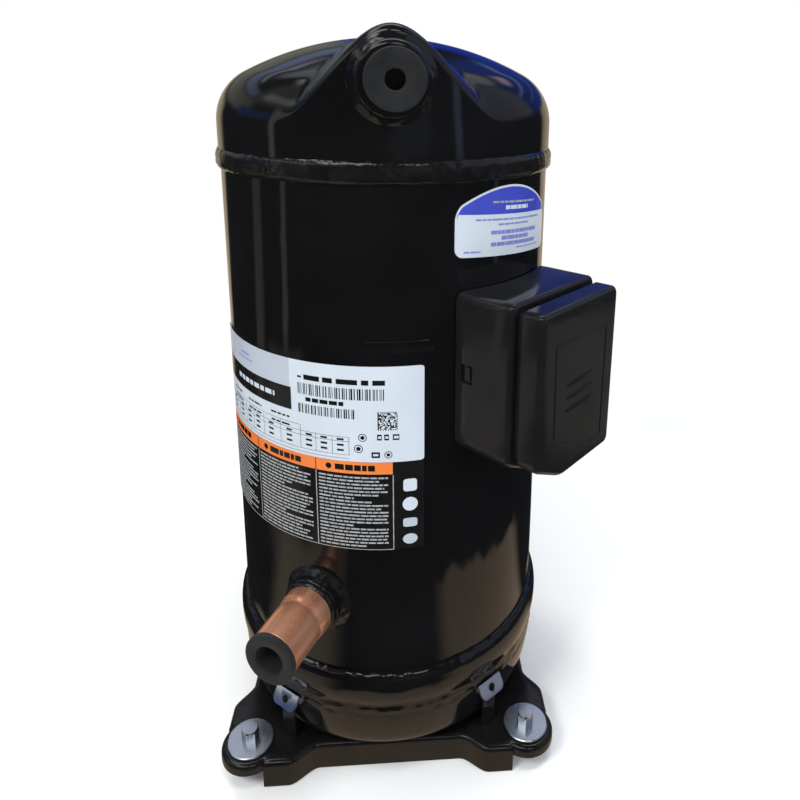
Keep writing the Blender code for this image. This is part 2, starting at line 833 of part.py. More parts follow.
def make_crank(steel, bronze, iron, lamination):
    profile = [
        (0, 297.5),
        (15.6, 297.5),
        (15.6, 263.0),
        (SHAFT_RADIUS, 262.2),
        (SHAFT_RADIUS, 108.0),
        (9.6, 107.0),
        (9.6, 60.0),
        (0, 60.0),
    ]
    shaft = turned("crankshaft", profile, steel, segments=24)
    pin_centre = (ORBIT_RADIUS, 0)
    add(shaft, rod("crank_pin", 9.0, 290.0, 328.0, centre=pin_centre))
    tube("drive_bushing", 9.3, 15.4, 299.0, 327.0, bronze, centre=pin_centre)

    make_counterweight("upper_counterweight", 256.4, 261.6, (31.5, 275.0), 95, 265, iron)
    make_counterweight("lower_counterweight", 149.6, 142.0, (31.5, 136.0), -70, 70, iron)

    rotor = [
        (48.0, 256.0),
        (49.6, 250.0),
        (49.6, 156.0),
        (48.0, 150.0),
        (32.0, 150.0),
        (SHAFT_RADIUS + GAP, 156.0),
        (SHAFT_RADIUS + GAP, 250.0),
        (32.0, 256.0),
    ]
    turned("rotor", rotor, lamination, segments=24)
    pickup = [(8.0, 59.6), (8.0, 48.0), (4.4, 38.0), (2.2, 38.0), (4.6, 48.0), (4.6, 59.6)]
    turned("oil_pickup", pickup, steel, segments=20)


def radial_bars(name, inner, outer, width, low, high):
    """Upright bars set evenly round the axis, as one guide for a Boolean."""
    made = bmesh.new()
    for index in range(SLOT_COUNT):
        across, along = direction(360 * (index + 0.5) / SLOT_COUNT)
        rings = []
        for level in (low, high):
            ring = []
            for out, aside in ((inner, -width), (outer, -width), (outer, width), (inner, width)):
                first = out * across - aside / 2 * along
                second = out * along + aside / 2 * across
                ring.append(made.verts.new((first, second, level)))
            rings.append(ring)
        made.faces.new(rings[0])
        made.faces.new(rings[1])
        for corner in range(4):
            after = (corner + 1) % 4
            made.faces.new((rings[0][corner], rings[0][after], rings[1][after], rings[1][corner]))
    return finish(name, made, None)


def make_stator(lamination, enamel, lead_insulation):
    core = tube("stator_core", 50.4, 106.8, STATOR_BOTTOM, STATOR_TOP, lamination, segments=36)
    cut(core, radial_bars("slots", 55.0, 76.0, 8.4, STATOR_BOTTOM - 10, STATOR_TOP + 10))
    winding = tube("stator_winding", 54.5, 79.0, 142.0, STATOR_BOTTOM - GAP, enamel, segments=24)
    add(winding, tube("upper_end_turns", 54.5, 79.0, STATOR_TOP + GAP, 264.0, segments=24))
    add(winding, radial_bars("coil_sides", 55.6, 75.4, 7.6, STATOR_BOTTOM - 8, STATOR_TOP + 8))

    path = bpy.data.curves.new("motor_leads", "CURVE")
    path.dimensions = "3D"
    path.bevel_depth = 3.2 * MM
    path.bevel_resolution = 2
    path.use_fill_caps = True
    path.resolution_u = 6
    spline = path.splines.new("BEZIER")
    spline.bezier_points.add(1)
    across, along = direction(BOX_AZIMUTH)
    ends = (((70.0, 267.8), (70.0, 276.0)), ((96.5, HEADER_HEIGHT), (84.0, HEADER_HEIGHT)))
    for point, (place, handle) in zip(spline.bezier_points, ends):
        for key, (out, up) in (("co", place), ("handle_right", handle), ("handle_left", handle)):
            setattr(point, key, (out * across * MM, out * along * MM, up * MM))
    first, last = spline.bezier_points
    first.handle_left = first.co
    last.handle_right = last.co
    leads = bpy.data.objects.new("motor_leads", path)
    bpy.context.collection.objects.link(leads)
    path.materials.append(lead_insulation)


def make_lower_bearing(iron, bronze):
    profile = [(22.0, 105.0), (22.0, 84.0), (12.9, 84.0), (12.9, 105.0)]
    bracket = turned("lower_bearing_bracket", profile, iron, segments=24)
    for number in range(3):
        turn = empty(f"bracket_arm_turn_{number}", rotation=(0, 0, 90 + 120 * number))
        add(bracket, block(f"bracket_arm_{number}", (18.0, -11.0, 96.0), (103.0, 11.0, 103.0), parent=turn))
        add(bracket, block(f"bracket_foot_{number}", (100.5, -13.0, 88.0), (105.8, 13.0, 112.0), parent=turn))
    tube("lower_bearing", 9.9, 12.6, 85.0, 104.0, bronze)


# ---- the discharge side -------------------------------------------------------------------------


def make_muffler_plate(paint, steel):
    rim = SEAM_RADIUS
    profile = [
        (rim - 2.4, SEAM_TOP),
        (rim, SEAM_TOP - 4.0),
        (rim, SEAM_BOTTOM + 4.0),
        (rim - 2.4, SEAM_BOTTOM),
        (105.0, SEAM_BOTTOM),
        (103.0, 410.6),
        (14.0, 410.6),
        (14.0, 419.4),
        (24.0, 419.4),
        (25.0, 414.6),
        (103.0, 414.6),
        (105.0, SEAM_TOP),
    ]
    plate = turned("muffler_plate", profile, paint, segments=40)
    valve_place = [78.0 * value for value in direction(120)]
    cut(plate, rod("relief_opening", 6.4, 400, 425, centre=valve_place, segments=12))
    valve = [(0, 422.0), (5.0, 422.0), (9.0, 420.0), (9.0, 415.0), (6.0, 415.0), (6.0, 402.0), (0, 402.0)]
    turned("relief_valve", valve, steel, centre=valve_place, segments=12)


def make_check_valve(steel):
    cage = [(22.0, 428.0), (22.0, 419.8), (18.2, 419.8), (18.2, 425.6), (8.0, 425.6), (8.0, 428.0)]
    guide = turned("check_valve_guide", cage, steel, segments=24)
    cut(guide, block("guide_window_along", (-30, -6, 421.0), (30, 6, 425.0)))
    rod("check_valve_disc", 17.6, 419.9, 421.8, steel, segments=24)


def make_floating_seal(alloy):
    profile = [(40.0, 409.0), (40.0, 404.0), (60.6, 404.0), (60.6, 390.5), (35.4, 390.5), (35.4, 409.0)]
    turned("floating_seal", profile, alloy, segments=32)


def lower_to_frame():
    """Moves everything that stands on its own, and so what hangs from it, down to the frame's origin."""
    for thing in bpy.data.objects:
        if thing.parent is None:
            thing.location.z -= (BASE_TOP - BASE_SHEET) * MM


def main():
    clear_scene()
    paint = material("black_paint", (0.012, 0.012, 0.013), 0.16)
    copper = material("copper", (0.72, 0.36, 0.22), 0.28, 1.0)
    rubber = material("black_rubber", (0.045, 0.047, 0.05), 0.62)
    zinc = material("zinc_plate", (0.62, 0.65, 0.70), 0.30, 1.0)
    plastic = material("black_plastic", (0.014, 0.014, 0.015), 0.30)
    paper = material("label_paper", (0.78, 0.78, 0.78), 0.45)
    blue = material("blue_label", (0.16, 0.24, 0.62), 0.45)
    iron = material("cast_iron", (0.20, 0.20, 0.21), 0.50, 1.0)
    alloy = material("cast_aluminium", (0.66, 0.66, 0.67), 0.42, 1.0)
    steel = material("machined_steel", (0.52, 0.52, 0.53), 0.28, 1.0)
    bronze = material("bearing_bronze", (0.50, 0.34, 0.16), 0.36, 1.0)
    brass = material("brass_pin", (0.70, 0.54, 0.26), 0.26, 1.0)
    lamination = material("lamination_steel", (0.30, 0.30, 0.32), 0.45, 1.0)
    enamel = material("enamelled_wire", (0.48, 0.20, 0.09), 0.35, 0.6)
    lead_insulation = material("lead_insulation", (0.75, 0.72, 0.62), 0.55)

    discharge_stub = empty("discharge_axis", (0, 0, DISCHARGE_HEIGHT), (0, 90, HOOD_AZIMUTH))
    suction_stub = empty("suction_axis", (0, 0, SUCTION_HEIGHT), (0, 90, SUCTION_AZIMUTH))
    header_stub = empty("header_axis", (0, 0, HEADER_HEIGHT), (0, 90, BOX_AZIMUTH))
    box_side = empty("box_side", (0, 0, 0), (0, 0, BOX_AZIMUTH))
    orbit_axis = empty("orbit_axis", (ORBIT_RADIUS, 0, 0))

    make_top_cap(paint, discharge_stub)
    make_discharge(paint, rubber, discharge_stub)
    make_muffler_plate(paint, steel)
    make_shell(paint, suction_stub, header_stub)
    make_bottom_cap(paint)
    make_base(paint)
    make_foot_fasteners(zinc)
    make_base_clips(zinc)
    make_suction(paint, copper, rubber, suction_stub)
    make_labels(paper, blue)
    make_terminal_box(plastic, zinc, box_side)
    make_header(steel, brass, header_stub)

    make_fixed_scroll(iron)
    make_orbiting_scroll(alloy, bronze, orbit_axis)
    make_oldham_ring(alloy)
    make_housing(iron, bronze)
    make_scroll_bolts(zinc)
    make_crank(steel, bronze, iron, lamination)
    make_stator(lamination, enamel, lead_insulation)
    make_lower_bearing(iron, bronze)
    make_check_valve(steel)
    make_floating_seal(alloy)
    lower_to_frame()


main()
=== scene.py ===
"""The looks of the scroll compressor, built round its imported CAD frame.

Sizes are in millimetres and angles in degrees until a mesh is made, and heights are above the lower edge
of the base's flange, which is DROP below the frame's origin.
"""

import math

import bmesh
import bpy
from mathutils import Matrix, Vector, noise


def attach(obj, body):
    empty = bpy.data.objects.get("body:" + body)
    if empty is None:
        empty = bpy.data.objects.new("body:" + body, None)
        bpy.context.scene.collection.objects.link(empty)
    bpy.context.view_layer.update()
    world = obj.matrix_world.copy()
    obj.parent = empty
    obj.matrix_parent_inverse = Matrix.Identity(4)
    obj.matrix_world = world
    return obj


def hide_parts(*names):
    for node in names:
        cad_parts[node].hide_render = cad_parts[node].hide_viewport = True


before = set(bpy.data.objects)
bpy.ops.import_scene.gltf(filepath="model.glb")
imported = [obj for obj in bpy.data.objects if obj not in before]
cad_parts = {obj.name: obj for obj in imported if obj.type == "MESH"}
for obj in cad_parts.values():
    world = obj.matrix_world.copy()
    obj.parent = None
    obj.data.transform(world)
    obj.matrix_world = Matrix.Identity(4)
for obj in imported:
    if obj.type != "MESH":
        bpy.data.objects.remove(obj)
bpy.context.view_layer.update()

MM = 0.001
DROP = 16.0

SHELL_RADIUS = 110.7
SHELL_WALL = 3.5
SHELL_BOTTOM = 46.5
SEAM_BOTTOM = 406.5
SEAM_TOP = 418.5
SEAM_RADIUS = 114.4
PLATE_BOTTOM = 410.6
PLATE_TOP = 414.6
PLATE_BORE = 14.0
PLATE_COLLAR_TOP = 419.4
CAP_RADIUS = 111.7
CAP_WALL = 4.0
CAP_SHOULDER = 435.0
CAP_TOP = 490.0
CAP_KNUCKLE = 36.0
CAP_SEGMENTS = 240
HOOD_AZIMUTH = -87.3
HOOD_FOOT = 428.2
HOOD_RISE = 63.0
HOOD_CREST_SHARE = 0.36
HOOD_CREST_SPREAD = 27.5
HOOD_FLANK_SPREAD = 41.0
HOOD_EDGE = 6.4
HOOD_BLEND = 6.0
BOTTOM_RADIUS = 115.5

DISCHARGE_HEIGHT = 462.0
BOSS_RADIUS = 20.6
DISCHARGE_FACE = 150.0
SUCTION_AZIMUTH = -114.5
SUCTION_HEIGHT = 136.0
COLLAR_RADIUS = 19.0
SUCTION_FACE = 163.5
TUBE_RADIUS = 15.6

FOOT = 95.25
FEET = [(-FOOT, -FOOT), (FOOT, -FOOT), (FOOT, FOOT), (-FOOT, FOOT)]
BASE_TOP = 19.6
BASE_SHEET = 3.6
FLANGE_END = 84.0
FLANGE_INNER = 102.0
FLANGE_OUTER = 113.0
FOOT_HOLE_RADIUS = 9.5
EAR_RADIUS = 19.5
EAR_LIP = 11.6
WASHER_RADIUS = 15.5
BOLT_FLATS = 10.0
BOLT_HEAD_HEIGHT = 8.6

CLIP_AZIMUTHS = (-127.0, -53.0, 53.0, 127.0)
BOX_AZIMUTH = -45.0
BOX_HALF_WIDTH = 44.5
BOX_TOP = 343.0
BOX_BOTTOM = 231.0
BOX_FRONT = 143.5
COVER_BACK = 147.8
COVER_FRONT = 162.0
COVER_INSET = 2.6
HEADER_HEIGHT = 280.0
HEADER_RADIUS = 22.0

PAPER_RADIUS = SHELL_RADIUS + 0.75
PAPER_PER_DEGREE = math.radians(1) * PAPER_RADIUS
PAPER_BACK = SHELL_RADIUS + 0.35
BACKDROP = (1.0, 1.0, 1.0)
DIM = (0.012, 0.013, 0.015)


# ---- mesh tools ---------------------------------------------------------------------------------


def direction(azimuth):
    turn = math.radians(azimuth)
    return math.cos(turn), math.sin(turn)


def polar(radius, azimuth, height):
    across, along = direction(azimuth)
    return radius * across, radius * along, height


def wobble(place, size):
    """Smooth noise between about -1 and 1 whose lumps are this many millimetres across."""
    return noise.noise(Vector(place) / size) * 1.6


def smooth_step(low, high, value):
    share = min(max((value - low) / (high - low), 0.0), 1.0)
    return share * share * (3 - 2 * share)


def stub_matrix(height, azimuth):
    """Local Z runs out of the pot along this azimuth, local X runs down, and local Y goes round it."""
    turn = Matrix.Rotation(math.radians(azimuth), 4, "Z") @ Matrix.Rotation(math.radians(90), 4, "Y")
    return Matrix.Translation((0, 0, height)) @ turn


def side_matrix(azimuth):
    return Matrix.Rotation(math.radians(azimuth), 4, "Z")


def join_rings(made, rings, closed):
    """Faces between neighbouring rings of bmesh vertices. A ring of one vertex is a pole."""
    pairs = list(zip(rings, rings[1:]))
    if closed:
        pairs.append((rings[-1], rings[0]))
    for ring, following in pairs:
        count = max(len(ring), len(following))
        for index in range(count):
            after = (index + 1) % count
            corners = (
                ring[index % len(ring)],
                ring[after % len(ring)],
                following[after % len(following)],
                following[index % len(following)],
            )
            corners = list(dict.fromkeys(corners))
            if len(corners) > 2:
                made.faces.new(corners)


def lofted(name, rings, material, matrix=None, origin=None, sharp=32.0, closed=False):
    """Rings of points joined in a row, with a face over each end, or closed from the last to the first."""
    made = bmesh.new()
    corners = [[made.verts.new(point) for point in ring] for ring in rings]
    join_rings(made, corners, closed)
    if not closed:
        made.faces.new(corners[0])
        made.faces.new(corners[-1])
    return to_object(name, made, material, matrix, origin, sharp)


def bar_along_y(name, outline, stations, material, matrix):
    """An outline of (x, z) points pulled straight through these places along local Y."""
    rings = [[(far, aside, up) for far, up in outline] for aside in stations]
    return lofted(name, rings, material, matrix)


def to_object(name, made, materials, matrix=None, origin=None, sharp=32.0):
    """Turns the bmesh, in millimetres, into a smooth-shaded object in the frame's metres."""
    if matrix is not None:
        bmesh.ops.transform(made, matrix=matrix, verts=made.verts)
    bmesh.ops.recalc_face_normals(made, faces=made.faces)
    if made.calc_volume(signed=True) < 0:
        bmesh.ops.reverse_faces(made, faces=made.faces)
    centre = Vector(origin or (0, 0, DROP))
    bmesh.ops.translate(made, vec=-centre, verts=made.verts)
    bmesh.ops.scale(made, vec=(MM, MM, MM), verts=made.verts)
    mesh = bpy.data.meshes.new(name)
    made.to_mesh(mesh)
    made.free()
    for material in materials if isinstance(materials, (list, tuple)) else [materials]:
        mesh.materials.append(material)
    mesh.shade_smooth()
    mesh.set_sharp_from_angle(angle=math.radians(sharp))
    thing = bpy.data.objects.new(name, mesh)
    bpy.context.scene.collection.objects.link(thing)
    thing.location = (centre - Vector((0, 0, DROP))) * MM
    return thing


def turned(name, profile, material, segments=96, matrix=None, origin=None, shape=None, sharp=32.0):
    """A solid of revolution from a closed outline of (radius, height); shape can move each point."""
    rings = []
    for radius, height in profile:
        if radius == 0:
            rings.append([(0, 0, height)])
            continue
        ring = []
        for index in range(segments):
            azimuth = 360 * index / segments
            far, up = shape(radius, height, azimuth) if shape else (radius, height)
            ring.append(polar(far, azimuth, up))
        rings.append(ring)
    return lofted(name, rings, material, matrix, origin, sharp, closed=True)


def prism(name, outline, levels, material, matrix, sharp=32.0, closed=False):
    """An outline function of the inset, lofted through (inset, level) pairs along local X."""
    rings = []
    for distance, level in levels:
        rings.append([(level, first, second) for first, second in outline(distance)])
    return lofted(name, rings, material, matrix, None, sharp, closed)


def carve(target, *tools, sharp=32.0):
    """Cuts the tools out of the target's mesh by exact Booleans, and removes them."""
    for tool in tools:
        step = target.modifiers.new("carve", "BOOLEAN")
        step.object = tool
        step.operation = "DIFFERENCE"
        step.solver = "EXACT"
    bpy.context.view_layer.update()
    graph = bpy.context.evaluated_depsgraph_get()
    mesh = bpy.data.meshes.new_from_object(target.evaluated_get(graph))
    target.modifiers.clear()
    target.data = mesh
    for tool in tools:
        bpy.data.objects.remove(tool, do_unlink=True)
    mesh.shade_smooth()
    mesh.set_sharp_from_angle(angle=math.radians(sharp))


def rod(name, radius, low, high, matrix=None, segments=96):
    return turned(name, [(0, high), (radius, high), (radius, low), (0, low)], [], segments, matrix)


def arc_profile(centre, radius, start, end, steps):
    """Points of a round in a profile, from one angle to another, both included."""
    points = []
    for index in range(steps + 1):
        across, along = direction(start + (end - start) * index / steps)
        points.append((centre[0] + radius * across, centre[1] + radius * along))
    return points


def rounded(corners, radius, steps=8):
    """The polygon's corners, each replaced by a curve tangent to its two sides."""
    points = []
    for index, corner in enumerate(corners):
        ends = []
        for neighbour in (corners[index - 1], corners[(index + 1) % len(corners)]):
            length = math.dist(corner, neighbour)
            reach = min(radius, length / 2) / length
            ends.append([corner[axis] + (neighbour[axis] - corner[axis]) * reach for axis in (0, 1)])
        for step in range(steps + 1):
            share = step / steps
            weights = ((1 - share) ** 2, 2 * share * (1 - share), share**2)
            points.append(
                tuple(
                    weights[0] * ends[0][axis] + weights[1] * corner[axis] + weights[2] * ends[1][axis]
                    for axis in (0, 1)
                )
            )
    return points


def inset(outline, distance):
    """The counter-clockwise outline moved inwards, each point along the mean of its sides' normals."""
    if not distance:
        return outline
    moved = []
    for index, point in enumerate(outline):
        normals = []
        for start, end in ((outline[index - 1], point), (point, outline[(index + 1) % len(outline)])):
            length = math.dist(start, end)
            normals.append(((start[1] - end[1]) / length, (end[0] - start[0]) / length))
        total = (normals[0][0] + normals[1][0], normals[0][1] + normals[1][1])
        scale = 2 * distance / max(total[0] ** 2 + total[1] ** 2, 1.0)
        moved.append((point[0] + total[0] * scale, point[1] + total[1] * scale))
    return moved


def soften(thing, width, angle):
    """Rounds every edge sharper than the angle."""
    step = thing.modifiers.new("soften", "BEVEL")
    step.width = width * MM
    step.segments = 2
    step.limit_method = "ANGLE"
    step.angle_limit = math.radians(angle)


def place(thing, body, slot, *nodes):
    """Fixes the piece to a body, in place of these CAD nodes. The slot, one of the CAD's material slots, is
    not used.
    """
    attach(thing, body)
    if nodes:
        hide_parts(*nodes)
    return thing


# ---- materials ----------------------------------------------------------------------------------


def add(tree, kind, settings=None, **inputs):
    """A node with its settings and inputs; an input that is a socket is linked."""
    made = tree.nodes.new(kind)
    for key, value in (settings or {}).items():
        setattr(made, key, value)
    for key, value in inputs.items():
        socket = made.inputs[int(key[1:])] if key[0] == "i" and key[1:].isdigit() else made.inputs[key]
        if isinstance(value, bpy.types.NodeSocket):
            tree.links.new(value, socket)
        else:
            socket.default_value = value
    return made


def math_node(tree, operation, first, second=0.0, third=0.0):
    return add(tree, "ShaderNodeMath", {"operation": operation}, i0=first, i1=second, i2=third).outputs[0]


def mix(tree, share, first, second):
    """Two colours mixed by the share of the second; each is a socket or a plain colour."""
    ends = [end if isinstance(end, bpy.types.NodeSocket) else (*end, 1.0) for end in (first, second)]
    return add(tree, "ShaderNodeMix", {"data_type": "RGBA"}, i0=share, i6=ends[0], i7=ends[1]).outputs[2]


def mapped(tree, value, low, high, start=0.0, end=1.0, settings=None):
    """The value's place between low and high, carried on to start and end."""
    return add(
        tree, "ShaderNodeMapRange", settings, Value=value, i1=low, i2=high, i3=start, i4=end
    ).outputs[0]


def surface(
    name,
    colours,
    roughness,
    metallic=0.0,
    patch=60.0,
    bumps=(),
    ior=1.5,
    coat=0.0,
    stretch=(1, 1, 1),
    turn=0.0,
    sheen=0.0,
    specks=0.0,
    anisotropic=0.0,
):
    """A Principled material whose colour and roughness drift between two values, with layered bumps.

    patch is the noise's scale per metre, bumps are (scale per metre, height in mm), and stretch and turn
    lay the noise along a direction. specks is the strength of fine pale dust.
    """
    made = bpy.data.materials.new(name)
    made.use_nodes = True
    tree = made.node_tree
    shader = tree.nodes["Principled BSDF"]
    where = add(tree, "ShaderNodeTexCoord").outputs["Object"]
    turned_where = add(
        tree, "ShaderNodeMapping", Vector=where, Rotation=(0, 0, math.radians(-turn))
    ).outputs[0]
    where = add(tree, "ShaderNodeMapping", Vector=turned_where, Scale=stretch).outputs[0]
    drift = add(tree, "ShaderNodeTexNoise", Vector=where, Scale=patch, Detail=5.0, Roughness=0.6).outputs[0]
    spread = mapped(tree, drift, 0.3, 0.7)
    colour = mix(tree, spread, *colours)
    rough = mapped(tree, drift, 0.3, 0.7, *roughness)
    if specks:
        grain = add(tree, "ShaderNodeTexVoronoi", Vector=where, Scale=420.0).outputs[0]
        dust = math_node(tree, "MULTIPLY", mapped(tree, grain, 0.05, 0.12, specks, 0.0), spread)
        colour = mix(tree, dust, colour, (0.35, 0.34, 0.32))
        rough = math_node(tree, "ADD", rough, dust)
    tree.links.new(colour, shader.inputs["Base Color"])
    tree.links.new(rough, shader.inputs["Roughness"])
    values = {"Metallic": metallic, "IOR": ior, "Coat Weight": coat, "Sheen Weight": sheen}
    values["Coat Roughness"] = 0.06
    for key, value in values.items():
        shader.inputs[key].default_value = value
    normal = None
    for scale, height in bumps:
        field = add(tree, "ShaderNodeTexNoise", Vector=where, Scale=scale, Detail=2.0).outputs[0]
        bump = add(tree, "ShaderNodeBump", Height=field, Distance=height * MM, Strength=1.0)
        if normal:
            tree.links.new(normal, bump.inputs["Normal"])
        normal = bump.outputs[0]
    if normal:
        tree.links.new(normal, shader.inputs["Normal"])
    if anisotropic:
        shader.inputs["Anisotropic"].default_value = anisotropic
        tangent = add(tree, "ShaderNodeTangent", {"direction_type": "RADIAL", "axis": "Z"})
        tree.links.new(tangent.outputs[0], shader.inputs["Tangent"])
    return made


def banded(made, pitch, depth):
    """Fine level ribs, such as stacked sheets or wound wire, added to a material."""
    tree = made.node_tree
    shader = tree.nodes["Principled BSDF"]
    where = add(tree, "ShaderNodeTexCoord").outputs["Object"]
    ribs = add(
        tree,
        "ShaderNodeTexWave",
        {"bands_direction": "Z", "wave_profile": "SIN"},
        Vector=where,
        Scale=1000 / pitch / 20,
        Distortion=0.4,
    )
    bump = add(tree, "ShaderNodeBump", Height=ribs.outputs[1], Distance=depth * MM)
    for link in list(shader.inputs["Normal"].links):
        tree.links.new(link.from_socket, bump.inputs["Normal"])
    tree.links.new(bump.outputs[0], shader.inputs["Normal"])
    return made


PAINT = surface(
    "gloss_black_paint",
    ((0.0035, 0.0035, 0.0038), (0.006, 0.006, 0.0064)),
    (0.04, 0.09),
    patch=16,
    bumps=((28, 0.16), (520, 0.006)),
    ior=1.56,
    specks=0.05,
)
BASE_PAINT = surface(
    "base_black_paint",
    ((0.004, 0.004, 0.0042), (0.009, 0.0085, 0.008)),
    (0.10, 0.24),
    patch=40,
    bumps=((60, 0.10), (700, 0.010)),
    ior=1.5,
    specks=0.16,
)
WELD_PAINT = surface(
    "painted_weld",
    ((0.004, 0.004, 0.0045), (0.010, 0.0095, 0.009)),
    (0.06, 0.2),
    patch=150,
    bumps=((260, 0.35), (900, 0.03)),
    ior=1.62,
)
PLASTIC = surface(
    "black_box_plastic",
    ((0.007, 0.007, 0.0075), (0.012, 0.012, 0.0125)),
    (0.10, 0.18),
    patch=26,
    bumps=((40, 0.08), (1500, 0.006)),
    ior=1.52,
    specks=0.05,
)
COPPER = surface(
    "drawn_copper",
    ((0.66, 0.26, 0.14), (0.86, 0.44, 0.28)),
    (0.22, 0.34),
    metallic=0.8,
    patch=110,
    stretch=(0.12, 1, 1),
    turn=SUCTION_AZIMUTH,
)
RUBBER = surface(
    "plug_rubber",
    ((0.010, 0.0105, 0.0115), (0.018, 0.0185, 0.0195)),
    (0.5, 0.7),
    patch=90,
    bumps=((900, 0.03), (120, 0.08)),
    sheen=0.05,
)
ZINC = surface(
    "zinc_plate",
    ((0.62, 0.67, 0.75), (0.76, 0.80, 0.86)),
    (0.20, 0.28),
    metallic=1.0,
    patch=45,
    anisotropic=0.25,
)
WHITE_PAPER = surface(
    "label_white", ((0.53, 0.59, 0.65), (0.58, 0.64, 0.70)), (0.28, 0.4), patch=30, coat=0.25
)
GREY_INK = surface(
    "label_grey", ((0.42, 0.46, 0.53), (0.45, 0.50, 0.57)), (0.28, 0.4), patch=30, coat=0.25
)
PALE_INK = surface(
    "label_pale", ((0.26, 0.27, 0.28), (0.42, 0.43, 0.44)), (0.3, 0.4), patch=300
)
BLACK_INK = surface(
    "label_black", ((0.006, 0.006, 0.006), (0.010, 0.010, 0.0095)), (0.12, 0.2), patch=30
)
ORANGE_INK = surface(
    "label_orange", ((0.72, 0.16, 0.025), (0.84, 0.22, 0.035)), (0.3, 0.4), patch=30
)
BLUE_INK = surface(
    "label_blue", ((0.035, 0.05, 0.42), (0.05, 0.07, 0.50)), (0.22, 0.34), patch=30, coat=0.3
)
VIOLET_INK = surface(
    "label_violet", ((0.16, 0.18, 0.52), (0.22, 0.24, 0.58)), (0.3, 0.4), patch=200
)

IRON = surface(
    "cast_iron", ((0.16, 0.16, 0.17), (0.26, 0.26, 0.27)), (0.4, 0.6), 1.0, 90, ((160, 0.2), (700, 0.05))
)
ALLOY = surface(
    "cast_aluminium", ((0.55, 0.56, 0.58), (0.72, 0.72, 0.73)), (0.3, 0.5), 1.0, 120, ((400, 0.05),)
)
STEEL = surface(
    "machined_steel", ((0.45, 0.46, 0.48), (0.60, 0.60, 0.61)), (0.2, 0.32), 1.0, 200, ((900, 0.01),)
)
BRONZE = surface(
    "bearing_bronze", ((0.42, 0.28, 0.12), (0.58, 0.40, 0.19)), (0.26, 0.4), 1.0, 150, ((800, 0.02),)
)
BRASS = surface("brass", ((0.62, 0.46, 0.20), (0.76, 0.60, 0.30)), (0.2, 0.3), 1.0, 150, ((800, 0.01),))
SHEETS = banded(
    surface("lamination_steel", ((0.22, 0.22, 0.24), (0.36, 0.36, 0.38)), (0.35, 0.5), 1.0, 200), 1.0, 0.12
)
WIRE = banded(
    surface("enamelled_wire", ((0.36, 0.12, 0.05), (0.56, 0.24, 0.10)), (0.25, 0.4), 0.5, 300, ((300, 0.5),)),
    1.6,
    0.3,
)
SLEEVE = surface(
    "lead_sleeve", ((0.66, 0.62, 0.50), (0.78, 0.75, 0.66)), (0.5, 0.65), 0.0, 100, ((900, 0.06),)
)


# ---- the pot ------------------------------------------------------------------------------------


def dome_height(radius):
    """The round cap: a knuckle that leaves the wall upright, then a shallow crown tangent to it."""
    knuckle_centre = CAP_RADIUS - CAP_KNUCKLE
    drop = CAP_SHOULDER - CAP_TOP
    crown = (CAP_KNUCKLE**2 - knuckle_centre**2 - drop**2) / (2 * drop + 2 * CAP_KNUCKLE)
    crown_centre = CAP_TOP - crown
    meeting = crown * knuckle_centre / math.hypot(knuckle_centre, CAP_SHOULDER - crown_centre)
    if radius < meeting:
        return crown_centre + math.sqrt(crown**2 - radius**2)
    reach = min(radius - knuckle_centre, CAP_KNUCKLE)
    return CAP_SHOULDER + math.sqrt(CAP_KNUCKLE**2 - reach**2)


def cap_height(radius, azimuth):
    """The dome, with the hood over the discharge stub raised out of its front."""
    turn = math.radians(azimuth - HOOD_AZIMUTH)
    aside = radius * math.sin(turn)
    ahead = radius * math.cos(turn)
    rounded_crest = HOOD_CREST_SHARE * math.exp(-0.5 * (aside / HOOD_CREST_SPREAD) ** 2)
    flanks = (1 - HOOD_CREST_SHARE) * math.exp(-0.5 * (aside / HOOD_FLANK_SPREAD) ** 2)
    crest = HOOD_FOOT + HOOD_RISE * (rounded_crest + flanks) * smooth_step(-20, 40, ahead)
    edge = min(HOOD_EDGE, max(crest - CAP_SHOULDER, 0.01))
    past = max(0.0, radius - (CAP_RADIUS - edge))
    hood = crest - edge + math.sqrt(max(edge**2 - past**2, 0.0))
    dome = dome_height(radius)
    overlap = max(0.0, 1 - abs(dome - hood) / HOOD_BLEND)
    return max(dome, hood) + HOOD_BLEND * overlap**2 / 4


def cap_skin(shrink, radii):
    """Rings of points from the cap's lower edge up to its middle; shrink moves them inwards."""
    scale = (CAP_RADIUS - shrink) / CAP_RADIUS
    azimuths = [360 * index / CAP_SEGMENTS for index in range(CAP_SEGMENTS)]
    rings = [[polar(CAP_RADIUS * scale, azimuth, SEAM_TOP + 0.3) for azimuth in azimuths]]
    for radius in radii:
        rings.append([polar(radius * scale, turn, cap_height(radius, turn) - shrink) for turn in azimuths])
    return rings + [[(0, 0, cap_height(0, 0) - shrink)]]


def make_top_cap():
    knuckle_centre = CAP_RADIUS - CAP_KNUCKLE
    radii = [knuckle_centre + CAP_KNUCKLE * direction(3 * step)[0] for step in range(26)]
    radii += [82 - 5.6 * step for step in range(14)]
    inner = cap_skin(CAP_WALL, radii[::3] + [4.0])
    cap = lofted("pot_top_cap", cap_skin(0.0, radii) + inner[::-1], PAINT, closed=True)
    stub = stub_matrix(DISCHARGE_HEIGHT, HOOD_AZIMUTH)
    carve(cap, rod("opening", BOSS_RADIUS, 60, 140, stub))
    place(cap, "pot", "black_paint", "top_cap")


